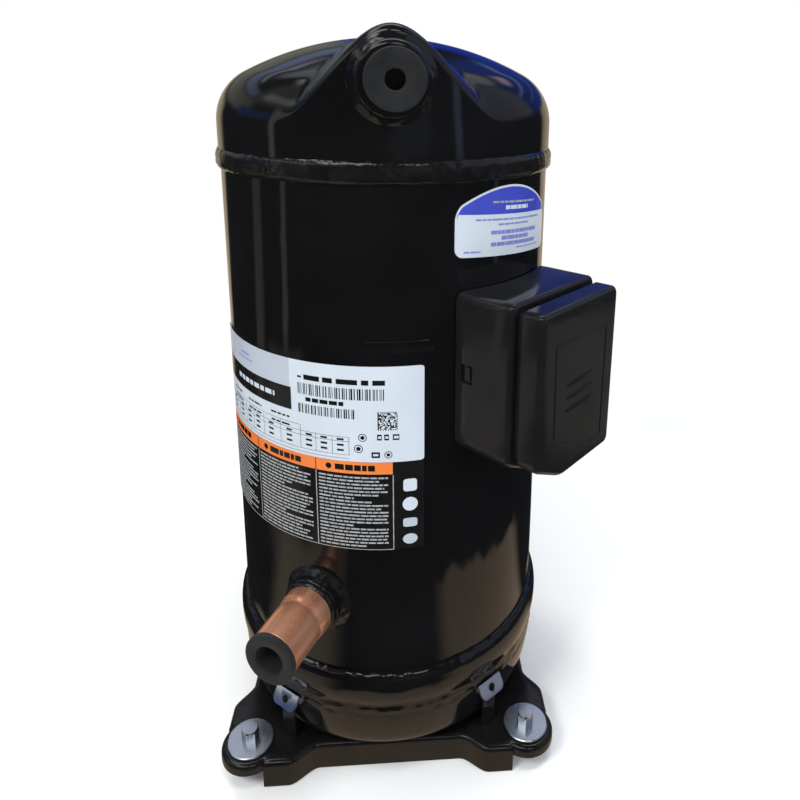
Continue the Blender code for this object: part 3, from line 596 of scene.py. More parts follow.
def make_seam():
    """The weld between cap and shell: a proud lumpy band, and the plate that it holds inside."""
    rim = SEAM_RADIUS - 0.7

    def lumps(radius, height, azimuth):
        if radius < 109:
            return radius, height
        spot = polar(rim, azimuth, height)
        swell = 0.22 * wobble(spot, 11.0) + 0.14 * wobble(spot, 4.0)
        lean = 0.4 * wobble(polar(rim, azimuth, 40.0 if height > 412 else 90.0), 7.0)
        return radius + swell, height + lean

    profile = [
        (rim - 3.6, SEAM_TOP + 1.6),
        (rim - 2.2, SEAM_TOP + 0.9),
        (rim - 0.9, SEAM_TOP - 0.6),
        (rim - 0.2, SEAM_TOP - 2.6),
        (rim, SEAM_TOP - 4.6),
        (rim - 0.2, SEAM_BOTTOM + 5.6),
        (rim, SEAM_BOTTOM + 4.0),
        (rim - 0.3, SEAM_BOTTOM + 2.2),
        (rim - 1.2, SEAM_BOTTOM + 0.6),
        (rim - 2.4, SEAM_BOTTOM - 0.3),
        (rim - 3.8, SEAM_BOTTOM - 1.2),
        (105.0, SEAM_BOTTOM),
        (103.0, PLATE_BOTTOM),
        (PLATE_BORE, PLATE_BOTTOM),
        (PLATE_BORE, PLATE_COLLAR_TOP),
        (PLATE_BORE + 10.0, PLATE_COLLAR_TOP),
        (PLATE_BORE + 11.0, PLATE_TOP),
        (103.0, PLATE_TOP),
        (105.0, SEAM_TOP),
    ]
    seam = turned("seam_weld", profile, WELD_PAINT, 480, shape=lumps, sharp=50)
    valve = Matrix.Translation(polar(78.0, 120, 405))
    carve(seam, rod("opening", 6.4, -10, 20, valve, 32), sharp=50)
    place(seam, "pot", "black_paint", "muffler_plate")


def make_shell():
    levels = [SHELL_BOTTOM + 4.2 * step for step in range(62)]
    # The levels lie close together where the bar is pressed in.
    levels += [303 + 0.9 * step for step in range(22)]
    levels += [324 + 4.5 * step for step in range(18)]
    levels.append(SEAM_BOTTOM - 0.3)

    def dimple(radius, height, azimuth):
        """A shallow pressed bar across the front, above the rating label."""
        if radius < SHELL_RADIUS:
            return radius, height
        azimuth = azimuth - 360 if azimuth > 180 else azimuth
        along = smooth_step(-99.4, -98.0, azimuth) * (1 - smooth_step(-76.2, -74.8, azimuth))
        across = smooth_step(308.6, 310.6, height) * (1 - smooth_step(313.8, 315.8, height))
        return radius - 1.1 * along * across, height

    profile = [(SHELL_RADIUS, level) for level in levels]
    inner = SHELL_RADIUS - SHELL_WALL
    profile += [(inner, level) for level in levels[::-8]]
    if profile[-1][1] > levels[0]:
        profile.append((inner, levels[0]))
    shell = turned("pot_shell", profile, PAINT, 360, shape=dimple)
    carve(
        shell,
        rod("opening", COLLAR_RADIUS + 0.2, 80, 130, stub_matrix(SUCTION_HEIGHT, SUCTION_AZIMUTH)),
        rod("header_opening", HEADER_RADIUS + 0.3, 80, 130, stub_matrix(HEADER_HEIGHT, BOX_AZIMUTH)),
    )
    place(shell, "pot", "black_paint", "shell")


def make_bottom_cap():
    """The lower cap: a round bead, a wrinkled crease under it, and a wall that turns in at the foot."""
    rim = BOTTOM_RADIUS
    sleeve = SHELL_RADIUS + 0.05
    outer = [(sleeve, 86.2), (sleeve + 1.0, 86.0), (sleeve + 2.4, 84.9), (rim - 1.0, 83.2)]
    outer += [(rim - 0.2, 80.8), (rim + 0.2, 77.6), (rim + 0.2, 73.6), (rim - 0.1, 69.6), (rim - 0.7, 66.2)]
    outer += [(rim - 1.5, 63.4), (rim - 1.9, 61.4), (rim - 1.7, 59.6), (rim - 1.6, 57.6), (rim - 1.9, 55.8)]
    outer += [(rim - 2.0, 54.2), (rim - 1.9, 52.4), (rim - 2.1, 50.4), (rim - 2.4, 47.6), (rim - 3.0, 43.0)]
    outer += [(rim - 3.9, 37.0), (rim - 5.1, 31.0), (rim - 6.2, 27.8), (rim - 8.0, 25.2), (rim - 10.8, 23.5)]
    outer += [(100.0, 22.4), (60.0, 21.0), (0, BASE_TOP + 0.4)]
    inner = [(0, BASE_TOP + 4.2), (99.0, 26.4), (104.4, 31.0), (106.5, 45.5), (sleeve, 46.2)]

    def wrinkles(radius, height, azimuth):
        if radius < 108:
            return radius, height
        spot = polar(radius, azimuth, 3.2 * height)
        crease = smooth_step(48, 53, height) * (1 - smooth_step(60, 65, height))
        weld = smooth_step(82, 85, height)
        swell = 0.05 * wobble(spot, 40.0)
        swell += crease * (0.42 * wobble(spot, 8.0) - 0.15)
        swell += weld * 0.2 * wobble(spot, 6.0)
        return radius + swell, height + 0.5 * weld * wobble(polar(rim, azimuth, 7.0), 6.0)

    cap = turned("pot_bottom_cap", outer + inner, PAINT, 480, shape=wrinkles, sharp=60)
    place(cap, "pot", "black_paint", "bottom_cap")


def fillet(name, stub, radius, reach, height, surface_out, seed, lumpiness, material):
    """A weld round a stub, from its side down to the pot, whose surface lies surface_out along the stub."""
    steps = 160
    shares = [index / 9 for index in range(10)]
    rings = [[] for _ in range(len(shares) + 2)]
    for index in range(steps):
        down, aside = direction(360 * index / steps)
        for order, share in enumerate(shares):
            far = radius - 0.3 + (reach + 0.3) * share
            base = surface_out(far * down, far * aside)
            spot = (far * down + seed, far * aside, base)
            lump = 1 + lumpiness * (0.5 * wobble(spot, 11.0) + 0.35 * wobble(spot, 4.5))
            rise = height * lump * (1 - share) ** 1.3 * (1 + 0.5 * share) - 0.4 * share
            rings[order].append((far * down, far * aside, base + rise))
        for order, far in ((-2, radius + reach), (-1, radius - 0.3)):
            base = surface_out(far * down, far * aside)
            rings[order].append((far * down, far * aside, base - 2.0))
    place(lofted(name, rings, material, stub, sharp=70, closed=True), "pot", "black_paint")


def shell_out(down, aside):
    """How far out along the suction stub the shell lies, which is the same at every height."""
    return math.sqrt(SHELL_RADIUS**2 - aside**2)


def hood_out(down, aside):
    """How far out along the discharge stub the hood's face lies here, found by halving a bracket."""
    height = DISCHARGE_HEIGHT - down
    low, high = 40.0, math.sqrt(CAP_RADIUS**2 - aside**2)
    for _ in range(24):
        middle = (low + high) / 2
        radius = math.hypot(middle, aside)
        azimuth = HOOD_AZIMUTH + math.degrees(math.atan2(aside, middle))
        if cap_height(radius, azimuth) >= height:
            low = middle
        else:
            high = middle
    return low


def make_discharge():
    stub = stub_matrix(DISCHARGE_HEIGHT, HOOD_AZIMUTH)
    boss = BOSS_RADIUS
    profile = [(13.2, 146.5), (14.2, 146.5), (14.6, 146.0), (14.6, 126.4), (14.9, 125.6), (15.6, 125.2)]
    profile += arc_profile((boss - 4.4, 120.6), 4.4, 84, 0, 9)
    profile += [(boss, 118.0), (boss, 101.0), (11.4, 101.0), (11.4, 128.0), (13.2, 130.0)]
    fitting = turned("discharge_stub", profile, PAINT, 96, stub)
    place(fitting, "pot", "black_paint", "discharge_fitting")
    fillet("discharge_weld", stub, boss, 4.6, 3.4, hood_out, 3.0, 0.35, PAINT)
    face = DISCHARGE_FACE
    plug = [(5.7, face), (14.4, face)]
    plug += arc_profile((14.5, face - 0.8), 0.8, 80, -80, 6)
    plug += [(14.9, 146.8), (12.9, 146.8), (12.9, 131.5), (0, 131.5), (0, 138.0), (5.1, 138.0)]
    plug += [(5.1, face - 0.6), (5.3, face - 0.2)]
    stopper = turned("discharge_plug_rubber", plug, RUBBER, 96, stub)
    place(stopper, "discharge_cap", "rubber", "discharge_plug")


def make_suction():
    stub = stub_matrix(SUCTION_HEIGHT, SUCTION_AZIMUTH)
    collar = COLLAR_RADIUS
    bore = TUBE_RADIUS + 0.9
    profile = [(bore, 100.0), (bore, 118.4)] + arc_profile((collar - 2.0, 117.0), 2.0, 90, 0, 8)
    profile += [(collar, 114.0), (collar, 100.0)]
    fitting = turned("suction_collar", profile, PAINT, 96, stub)
    place(fitting, "pot", "black_paint", "suction_fitting")
    fillet("suction_weld", stub, collar, 5.0, 3.0, shell_out, 11.0, 0.4, WELD_PAINT)

    wall = TUBE_RADIUS
    swage = wall + 0.62
    pipe = [(wall, 159.4), (wall - 0.3, 159.8), (13.8, 159.8), (13.8, 96.0), (swage, 96.0), (swage, 121.0)]
    pipe += [(swage + 0.15, 124.0), (swage + 0.1, 127.4), (swage - 0.1, 129.6), (swage - 0.5, 130.9)]
    pipe += [(wall - 0.25, 131.9), (wall - 0.35, 133.0), (wall - 0.15, 134.4), (wall, 136.0), (wall, 148.0)]
    tube = turned("suction_pipe", pipe, COPPER, 128, stub)
    place(tube, "pot", "copper", "suction_tube")
    brazing = turned(
        "suction_braze",
        [(swage - 0.3, 117.0), (collar - 1.6, 117.0), (collar - 1.6, 119.2), (swage + 0.9, 119.9)]
        + [(swage + 0.2, 121.0), (swage - 0.3, 121.2)],
        WELD_PAINT,
        128,
        stub,
        shape=lambda radius, height, azimuth: (
            radius + (0.25 * wobble((azimuth / 4, height, 5.0), 6.0) if radius > swage else 0.0),
            height,
        ),
        sharp=60,
    )
    place(brazing, "pot", "black_paint")

    face = SUCTION_FACE
    plug = [(9.8, face), (15.4, face)]
    plug += arc_profile((15.5, face - 0.9), 0.9, 80, -60, 6)
    plug += [(16.2, 160.2), (13.4, 160.1), (13.4, 142.0), (0, 142.0), (0, 150.0), (8.4, 150.0)]
    plug += [(9.0, 151.5), (9.0, face - 0.8), (9.2, face - 0.3)]
    stopper = turned("suction_plug_rubber", plug, RUBBER, 96, stub)
    place(stopper, "suction_cap", "rubber", "suction_plug")


# ---- the base -----------------------------------------------------------------------------------


def base_outline():
    """The base's edge, counter-clockwise, as (x, y, height of its lower edge), turned to each side."""
    end, inner, outer = FLANGE_END, FLANGE_INNER, FLANGE_OUTER
    side = [(-end, -outer, 0.0), (-end + 6, -outer, 0.0), (-end + 12, -outer, 0.0)]
    for step in range(15):
        across = 68.0 - 20.0 * step / 14
        side.append((-across, -inner - (outer - inner) * smooth_step(48, 68, across), 0.0))
    side += [(-36, -inner, 0), (-24, -inner, 0), (-12, -inner, 0)]
    side += [(0, -inner, 0)] + [(-across, along, low) for across, along, low in side[::-1]]
    for across, along in arc_profile(FEET[1], EAR_RADIUS, -123.0, 33.0, 28):
        side.append((across, along, EAR_LIP))
    outline = []
    for quarter in range(4):
        across, along = direction(90 * quarter)
        for first, second, low in side:
            outline.append((first * across - second * along, first * along + second * across, low))
    return outline


def make_base():
    """The stamped base: a sheet with a turned-down edge, raised a little round the foot holes."""
    outline = base_outline()
    flat = [point[:2] for point in outline]
    low = [point[2] for point in outline]
    bend = 3.4
    levels = [
        (BASE_SHEET, [BASE_TOP - BASE_SHEET] * len(flat)),
        (BASE_SHEET, [value + 0.6 for value in low]),
        (BASE_SHEET - 0.6, low),
        (0.5, low),
        (0.0, [value + 0.5 for value in low]),
    ]
    for step in range(9):
        across, up = direction(90 * step / 8)
        levels.append((bend * (1 - across), [BASE_TOP - bend * (1 - up)] * len(flat)))
    levels.append((8.0, [BASE_TOP] * len(flat)))
    rings = []
    for distance, heights in levels:
        rings.append([(*point, level) for point, level in zip(inset(flat, distance), heights)])
    base = lofted("base_pressing", rings, BASE_PAINT, sharp=40)
    spots = [Matrix.Translation((across, along, 0)) for across, along in FEET]
    carve(base, *[rod("foot_hole", FOOT_HOLE_RADIUS, -10, 40, spot, 48) for spot in spots], sharp=40)
    place(base, "pot", "black_paint", "base_plate")


def make_fasteners():
    """A washer and a hexagon bolt at each foot, the bolts turned unequally, as they were left."""
    seat = BASE_TOP + 0.3
    head = seat + 1.8
    top = head + BOLT_HEAD_HEIGHT
    corner = BOLT_FLATS / math.sqrt(3)
    rim = WASHER_RADIUS
    section = [(3.4, seat + 0.2), (3.6, head), (rim - 0.6, head), (rim - 0.1, head - 0.4)]
    section += [(rim, seat + 0.3), (rim - 0.3, seat), (3.6, seat)]
    steps = range(24)
    flats = [corner * direction(30)[0] / direction((15 * index) % 60 - 30)[0] for index in steps]
    trimmed = [min(flat, corner - 0.9) for flat in flats]
    levels = [(2.0, [2.5] * 24), (3.0, [3.0] * 24), (head + 0.1, [3.0] * 24)]
    levels += [(head + 0.1, flats), (top - 1.0, flats), (top, trimmed)]
    for number, (across, along) in enumerate(FEET, 1):
        spot = Matrix.Translation((across, along, 0))
        origin = (across, along, seat)
        washer = turned(f"washer_{number}", section, ZINC, 96, spot, origin)
        place(washer, "pot", "zinc", f"foot_washer_{number}")
        rings = []
        for level, radii in levels:
            rings.append([polar(radii[index], 15 * index + 12 * number, level) for index in steps])
        bolt = lofted(f"bolt_{number}", rings, ZINC, spot, origin, 25)
        place(bolt, "pot", "zinc", f"foot_bolt_{number}")


def make_clips():
    """Folded zinc strips with a holed wing that hangs out, each with a leg on the base against the lower cap,
    drawn black as painted shade.
    """
    back, front = 114.1, 115.5
    half, corner = 10.0, 4.0
    fold = [(back, 52.6), (back, 54.8), (back + 0.15, 55.6), (back + 0.6, 56.0), (back + 1.2, 55.7)]
    outer, inner = Vector((120.9, 47.3)), Vector((119.7, 46.4))
    slant = (outer - Vector(fold[-1])).normalized()
    for number, azimuth in enumerate(CLIP_AZIMUTHS, 1):
        rings = []
        for side in (-10.0, -9.8, -9.3, -8.6, -7.6, -6.0, 0.0, 6.0, 7.6, 8.6, 9.3, 9.8, 10.0):
            past = max(0.0, abs(side) - (half - corner))
            rise = corner - math.sqrt(max(corner**2 - past**2, 0.0))
            tip = [outer - slant * rise, inner - slant * rise]
            section = fold + [tuple(point) for point in tip] + [(front, 52.2)]
            rings.append([(far, side, up) for far, up in section])
        seat = side_matrix(azimuth)
        clip = lofted(f"clip_{number}", rings, ZINC, seat, sharp=30)
        foot, neck = BASE_TOP + 0.4, 52.8
        strip = ((back, foot), (front, foot), (front, neck), (back, neck))
        # The leg is drawn in the base's black paint as painted shade, for the dark gap under each wing.
        leg = bar_along_y(f"clip_leg_{number}", strip, (-5.5, 5.5), BASE_PAINT, seat)
        place(leg, "pot", "black_paint")
        slope = Matrix.Translation((117.4, 0, 51.3)) @ Matrix.Rotation(math.radians(53.2), 4, "Y")
        carve(clip, rod("hole", 2.5, -1.7, 4, seat @ slope, segments=32), sharp=30)
        soften(clip, 0.2, 50)
        place(clip, "pot", "zinc", f"base_clip_{number}")


# ---- labels -------------------------------------------------------------------------------------


class Sheet:
    """A thin sheet round the shell and the printing on it, drawn as thin patches in several inks."""

    def __init__(self, foot):
        self.foot = foot
        self.made = bmesh.new()
        self.inks = []

    def colour(self, known, material):
        """Gives this ink to every face after the first known ones."""
        if material not in self.inks:
            self.inks.append(material)
        self.made.faces.ensure_lookup_table()
        for face in self.made.faces[known:]:
            face.material_index = self.inks.index(material)

    def solid(self, columns, low, high, material):
        """A closed strip: columns of (azimuth, bottom, top) joined side by side."""
        rings = []
        for azimuth, bottom, top in columns:
            ring = []
            for radius, up in ((low, bottom), (low, top), (high, top), (high, bottom)):
                ring.append(self.made.verts.new(polar(radius, azimuth, self.foot(azimuth) + up)))
            rings.append(ring)
        known = len(self.made.faces)
        join_rings(self.made, rings, closed=False)
        self.made.faces.new(rings[0])
        self.made.faces.new(rings[-1][::-1])
        self.colour(known, material)

    def patch(self, start, end, bottom, top, material=BLACK_INK, layer=1):
        steps = max(1, math.ceil(abs(end - start) / 2.0))
        low = PAPER_RADIUS - 0.02 + 0.03 * layer
        columns = [(start + (end - start) * step / steps, bottom, top) for step in range(steps + 1)]
        self.solid(columns, low, low + 0.05, material)

    def blob(self, azimuth, up, outline, material=BLACK_INK, layer=1):
        """A small flat shape with its centre raised on to the curve; the outline is in millimetres."""
        low = PAPER_RADIUS - 0.02 + 0.03 * layer
        rings = []
        for radius, share in ((low, 0.0), (low, 1.0), (low + 0.06, 1.0), (low + 0.06, 0.0)):
            points = outline if share else outline[:1]
            ring = []
            for aside, rise in points:
                turn = azimuth + share * aside / PAPER_PER_DEGREE
                ring.append(self.made.verts.new(polar(radius, turn, self.foot(turn) + up + share * rise)))
            rings.append(ring)
        known = len(self.made.faces)
        join_rings(self.made, rings, closed=False)
        self.colour(known, material)

    def words(self, start, end, bottom, top, material, seed, layer=1, gap=0.5, fill=1.0):
        """A row of plain dashes of uneven length over this share of the line, standing for small print."""
        word = start
        count = 0
        stop = start + (end - start) * fill
        while word < stop - 0.3:
            length = 1.2 + 2.6 * abs(noise.noise(Vector((seed * 1.7, count * 2.3, 0.5)))) * 1.6
            finish = min(word + length, stop)
            self.patch(word, finish, bottom, top, material, layer)
            word = finish + gap
            count += 1

    def build(self, name):
        return to_object(name, self.made, self.inks, sharp=40)


def disc(radius, steps=20, squash=1.0):
    turns = [direction(360 * index / steps) for index in range(steps)]
    return [(radius * across, squash * radius * along) for across, along in turns]


def make_rating_label():
    low, high = 177.9, 300.2
    white_foot, band_foot = 238.6, 230.5
    left, right, panel_end = -164.5, -78.2, -88.0
    sheet = Sheet(lambda azimuth: 0.0)
    columns = [(left + (right - left) * step / 46, low, high) for step in range(47)]
    sheet.solid(columns, PAPER_BACK, PAPER_RADIUS, BLACK_INK)
    paper = sheet.build("rating_label_sheet")
    place(paper, "pot", "label_paper", "rating_label")

    ink = Sheet(lambda azimuth: 0.0)
    # The white part's corners are rounded by narrowing its last columns.
    columns = [(left + (right - 1.2 - left) * step / 44, white_foot, high) for step in range(45)]
    for before, short in ((0.9, 0.1), (0.55, 0.35), (0.25, 0.8), (0.05, 1.5)):
        columns.append((right - before, white_foot + short, high - short))
    ink.solid(columns, PAPER_RADIUS - 0.02, PAPER_RADIUS + 0.03, WHITE_PAPER)
    ink.patch(left, -121.4, 281.8, high, GREY_INK)
    ink.patch(left, -121.0, 266.8, 281.6)
    ink.words(-150, -128, 272.6, 275.8, WHITE_PAPER, 3, 2, 0.7)
    ink.patch(-147.0, -141.0, 291.5, 292.7, VIOLET_INK, 2)
    ink.patch(-149.0, -139.0, 288.4, 289.2, VIOLET_INK, 2)

    # Two bar codes, as (start, end, foot, top, seed), and the heavy bars over them.
    codes = ((-118.3, -90.1, 278.8, 286.0, 1), (-118.3, -99.6, 266.6, 272.6, 2))
    for start, finish, foot, top, seed in codes:
        bar = start
        count = 0
        while bar < finish:
            value = abs(noise.noise(Vector((seed * 9.1, count * 3.7, 0.2)))) * 1.8
            wide = 0.16 + 0.42 * min(value, 1.0)
            ink.patch(bar, min(bar + wide, finish), foot, top)
            bar += wide + 0.2 + 0.22 * ((count * 7) % 3)
            count += 1
    for start, wide in ((-116.0, 5.4), (-109.6, 3.2), (-105.2, 6.6), (-97.4, 2.2), (-94.0, 3.8)):
        ink.patch(start, start + wide, 288.4, 291.6)
    ink.words(-118.3, -116.8, 289.2, 290.4, BLACK_INK, 5, 1, 0.2)
    ink.words(-115.6, -103.0, 274.6, 277.2, BLACK_INK, 6, 1, 0.45)

    # A square code of dark and pale cells.
    modules = 16
    last = modules - 1
    cell = 12.0 / modules
    for row in range(modules):
        for column in range(modules):
            edge = row in (0, last) or column in (0, last)
            dark = edge or noise.noise(Vector((row * 1.37 + 9, column * 1.91, 0.7))) > 0.0
            if row % last == 0 and column % 2 or column == last and row % 2:
                dark = False
            if dark:
                start = -92.6 + column * cell / PAPER_PER_DEGREE
                top = 271.6 - row * cell
                ink.patch(start, start + 0.96 * cell / PAPER_PER_DEGREE, top - 0.96 * cell, top)

    # Ringed round marks, and framed marks beside them.
    for azimuth, up, radius in ((-97.3, 254.8, 2.6), (-98.6, 247.4, 2.7), (-89.4, 243.6, 2.4)):
        ink.blob(azimuth, up, disc(radius))
        ink.blob(azimuth, up, disc(radius - 0.5), WHITE_PAPER, 2)
        ink.blob(azimuth, up, disc(radius - 1.3), BLACK_INK, 3)
    for azimuth, wide in ((-92.8, 1.4), (-90.6, 1.4), (-88.0, 2.0)):
        ink.patch(azimuth, azimuth + wide, 253.2, 257.0)
        ink.patch(azimuth + 0.35, azimuth + wide - 0.2, 254.3, 255.9, WHITE_PAPER, 2)
    ink.patch(-94.6, -92.0, 241.6, 245.4)
    ink.patch(-94.1, -92.5, 242.8, 244.2, WHITE_PAPER, 2)

    # A ruled table with rows of small print.
    for up in (240.4, 242.8, 251.6, 254.4):
        ink.patch(-160, -101.5, up, up + 0.22)
    ink.patch(-160, -118.0, 258.2, 258.42)
    for azimuth in (-160, -152, -145.5, -140, -134, -126, -118, -112.5, -107, -101.6):
        top = 258.4 if azimuth < -117 else 254.5
        ink.patch(azimuth, azimuth + 0.12, 242.8, top)
    for azimuth in (-158, -150, -144, -138.5, -131.5, -123.5, -116, -110.8, -105.4):
        for up in (252.3, 248.6, 245.2):
            ink.patch(azimuth, azimuth + 2.2, up, up + 1.3)
    for azimuth in (-156, -143, -130):
        ink.words(azimuth, azimuth + 8, 255.6, 256.8, BLACK_INK, azimuth, 1)
        ink.words(azimuth, azimuth + 8, 261.0, 262.2, BLACK_INK, azimuth + 4, 1)

    # Three columns of pale print on black, each under an orange heading.
    ink.patch(left, panel_end, band_foot, white_foot - 0.15, ORANGE_INK)
    dividers = (-163.2, -138.0, -112.8, panel_end)
    for azimuth in dividers:
        ink.patch(azimuth - 0.12, azimuth + 0.12, band_foot, white_foot - 0.15, BLACK_INK, 2)
        ink.patch(azimuth - 0.14, azimuth + 0.14, low + 0.5, band_foot - 0.6, PALE_INK)
    ink.patch(left, panel_end, low + 0.3, low + 0.7, PALE_INK)
    for number, (start, finish) in enumerate(zip(dividers, dividers[1:])):
        ink.words(start + 6.5, finish - 5.0, 232.6, 236.4, BLACK_INK, 31 + number, 2, 0.4)
        ink.blob(start + 4.4, 234.5, disc(1.9), BLACK_INK, 2)
        for line in range(21):
            top = band_foot - 2.0 - 2.36 * line
            reach = 0.97 - 0.4 * max(0.0, noise.noise(Vector((number * 5.3, line * 1.9, 0.4)))) * 1.5
            if line in (6, 14):
                reach = 0.5
            seed = 50 + number * 40 + line
            ink.words(start + 0.9, finish - 0.9, top - 1.05, top, PALE_INK, seed, 1, 0.32, reach)

    # Pale blobs down the right-hand edge.
    square = rounded([(-4.2, -4.2), (4.2, -4.2), (4.2, 4.2), (-4.2, 4.2)], 2.2, 4)
    for up, shape, colour in (
        (222.4, square, WHITE_PAPER),
        (209.4, disc(4.7, 24), WHITE_PAPER),
        (196.6, [(x * 1.05, y * 0.72) for x, y in square], GREY_INK),
        (185.0, disc(4.6, 24, 0.78), GREY_INK),
    ):
        ink.blob(-82.7, up, shape, colour)
    printing = ink.build("rating_label_print")
    place(printing, "pot", "label_paper")


def make_arched_label():
    """The arched label over the terminal box: a blue field above a white one, inside a white border."""
    left, right = -69.0, -23.0
    middle = (left + right) / 2

    def foot(azimuth):
        return 359.5 - 7.0 * (azimuth - middle) / 46.0

    def arch(azimuth):
        return 28.0 + 15.0 * (1 - ((azimuth - middle) / 23.0) ** 2)

    def shrink(azimuth, margin, corner):
        """Bottom and top of the field at this azimuth, with round corners of this size."""
        edge = min(azimuth - left, right - azimuth) * PAPER_PER_DEGREE - margin
        cut = corner - math.sqrt(max(corner**2 - max(corner - edge, 0.0) ** 2, 0.0)) if edge < corner else 0.0
        return margin + cut, arch(azimuth) - margin - 1.4 * cut

    def columns_of(margin, corner, low=0.0):
        inset_by = margin / PAPER_PER_DEGREE
        columns = []
        for step in range(61):
            share = (1 - math.cos(math.pi * step / 60)) / 2
            azimuth = left + inset_by + 0.01 + (right - left - 2 * inset_by - 0.02) * share
            bottom, top = shrink(azimuth, margin, corner)
            columns.append((azimuth, max(low, bottom), top))
        return columns

    sheet = Sheet(foot)
    sheet.solid(columns_of(0.0, 5.0), PAPER_BACK, PAPER_RADIUS, WHITE_PAPER)
    paper = sheet.build("arched_label_sheet")
    place(paper, "pot", "blue_label", "caution_label")

    ink = Sheet(foot)
    split = 25.3
    ink.solid(columns_of(1.3, 4.2, low=split), PAPER_RADIUS - 0.02, PAPER_RADIUS + 0.03, BLUE_INK)
    ink.words(-55.5, -33.5, 32.0, 33.2, PALE_INK, 12, 1, 0.4)
    ink.words(-50.0, -38.0, 28.0, 30.4, WHITE_PAPER, 13, 1, 0.3)
    rows = ((-62, -29, 21.6, 1.1), (-53, -37, 18.6, 1.1), (-56, -31, 13.2, 2.4), (-51.5, -37, 9.6, 2.4))
    rows += ((-56, -32, 6.0, 2.4), (-44, -30, 3.6, 0.8), (-66, -60, 2.6, 1.0))
    for number, (start, finish, up, tall) in enumerate(rows):
        ink.words(start, finish, up, up + tall, VIOLET_INK, 20 + number, 1, 0.35 if tall < 2 else 0.25)
    printing = ink.build("arched_label_print")
    place(printing, "pot", "blue_label")


# ---- the terminal box ---------------------------------------------------------------------------


def box_outline(margin):
    side = BOX_HALF_WIDTH
    corners = [(-16.0, BOX_BOTTOM), (side, BOX_BOTTOM), (side, BOX_TOP), (-side, BOX_TOP), (-side, 245.0)]
    return rounded(inset(corners, margin), max(6.0 - 0.4 * margin, 2.0))


def edge_round(radius, level, start_inset, steps=6):
    """(inset, level) pairs of a rounded edge that ends flat at this level."""
    pairs = []
    for step in range(steps + 1):
        across, up = direction(90 * step / steps)
        pairs.append((start_inset + radius * (1 - across), level - radius * (1 - up)))
    return pairs


def raise_on_cover(name, outline, section, closed):
    """A shape standing on the cover's face; the section is (inset, height over the face) pairs."""
    levels = [(distance, COVER_FRONT + rise) for distance, rise in section]
    side = side_matrix(BOX_AZIMUTH)
    shape = prism(name, lambda distance: inset(outline, distance), levels, PLASTIC, side, 60, closed)
    place(shape, "cover", "black_plastic")


def make_terminal_box():
    side = side_matrix(BOX_AZIMUTH)
    levels = [(0.6, 88.0), (0.0, 110.0), (0.0, 130.0)] + edge_round(3.0, BOX_FRONT, 0.0)
    levels += [(5.4, BOX_FRONT), (5.4, COVER_BACK + 1.6), (5.8, COVER_BACK + 2.0)]
    box = prism("terminal_case", box_outline, levels, PLASTIC, side)
    hollow = prism("hollow", box_outline, [(7.4, 80.0), (7.4, COVER_BACK + 8.0)], [], side)
    carve(hollow, rod("floor", SHELL_RADIUS + 4.2, 150, 400, segments=240))
    window = rounded([(107.3, 287.8), (116.2, 287.8), (116.2, 299.6), (107.3, 299.6)], 1.2, 4)
    flank = -BOX_HALF_WIDTH
    carve(
        box,
        rod("seat", SHELL_RADIUS + 1.2, 150, 400, segments=240),
        hollow,
        rod("header_hole", HEADER_RADIUS + 3.5, 60, 130, stub_matrix(HEADER_HEIGHT, BOX_AZIMUTH)),
        bar_along_y("latch_window", window, (flank - 2, flank + 1.9), [], side),
    )
    place(box, "pot", "black_plastic", "terminal_box")
    bar = rounded([(110.4, 289.4), (113.4, 289.4), (113.4, 298.0), (110.4, 298.0)], 0.6, 3)
    tongue = bar_along_y("case_latch_tongue", bar, (flank + 2.4, flank + 0.7), PLASTIC, side)
    place(tongue, "pot", "black_plastic")

    levels = [(COVER_INSET + 0.5, COVER_BACK), (COVER_INSET, COVER_BACK + 0.5)]
    levels += edge_round(3.6, COVER_FRONT, COVER_INSET, 8) + [(COVER_INSET + 9.0, COVER_FRONT)]
    cover = prism("cover_shell", box_outline, levels, PLASTIC, side)
    inside = [(COVER_INSET + 2.4, COVER_BACK - 5.0), (COVER_INSET + 2.4, COVER_FRONT - 4.0)]
    inside.append((COVER_INSET + 4.0, COVER_FRONT - 2.6))
    carve(cover, prism("inside", box_outline, inside, [], side))
    place(cover, "cover", "black_plastic", "terminal_cover")

    # A raised line round a plain field on the cover's face, and three ribs in the field.
    corners = [(-28.0, 320.0), (-26.0, 262.0), (3.0, 244.5), (29.0, 244.5), (29.0, 317.5)]
    section = ((-0.55, -0.5), (-0.45, 0.25), (-0.2, 0.45), (0.2, 0.45), (0.45, 0.25), (0.55, -0.5))
    raise_on_cover("cover_field_line", rounded(corners, 3.0, 6), section, closed=True)
    for number, up in enumerate((292.0, 284.0, 276.0), 1):
        corners = [(-14.0, up - 1.2), (16.0, up - 1.2), (16.0, up + 1.2), (-14.0, up + 1.2)]
        section = ((0.0, -0.5), (0.0, 0.3), (0.25, 0.5))
        raise_on_cover(f"cover_rib_{number}", rounded(corners, 1.1, 5), section, closed=False)


# ---- the works inside, which keep their CAD shapes ----------------------------------------------


def dress_works():
    finishes = {
        IRON: "fixed_scroll bearing_housing upper_counterweight lower_counterweight lower_bearing_bracket",
        ALLOY: "orbiting_scroll oldham_ring floating_seal",
        STEEL: "crankshaft oil_pickup check_valve_guide check_valve_disc relief_valve terminal_header",
        BRONZE: "main_bearing orbiting_bearing drive_bushing lower_bearing",
        BRASS: "terminal_pin_1 terminal_pin_2 terminal_pin_3",
        ZINC: "ground_screw scroll_bolt_1 scroll_bolt_2 scroll_bolt_3 scroll_bolt_4",
        SHEETS: "rotor stator_core",
        WIRE: "stator_winding",
        SLEEVE: "motor_leads",
    }
    for material, names in finishes.items():
        for name in names.split():
            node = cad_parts[name]
            for slot in node.material_slots:
                slot.material = material
            if not node.material_slots:
                node.data.materials.append(material)
            soften(node, 0.25, 40)


# ---- stage, light and camera --------------------------------------------------------------------


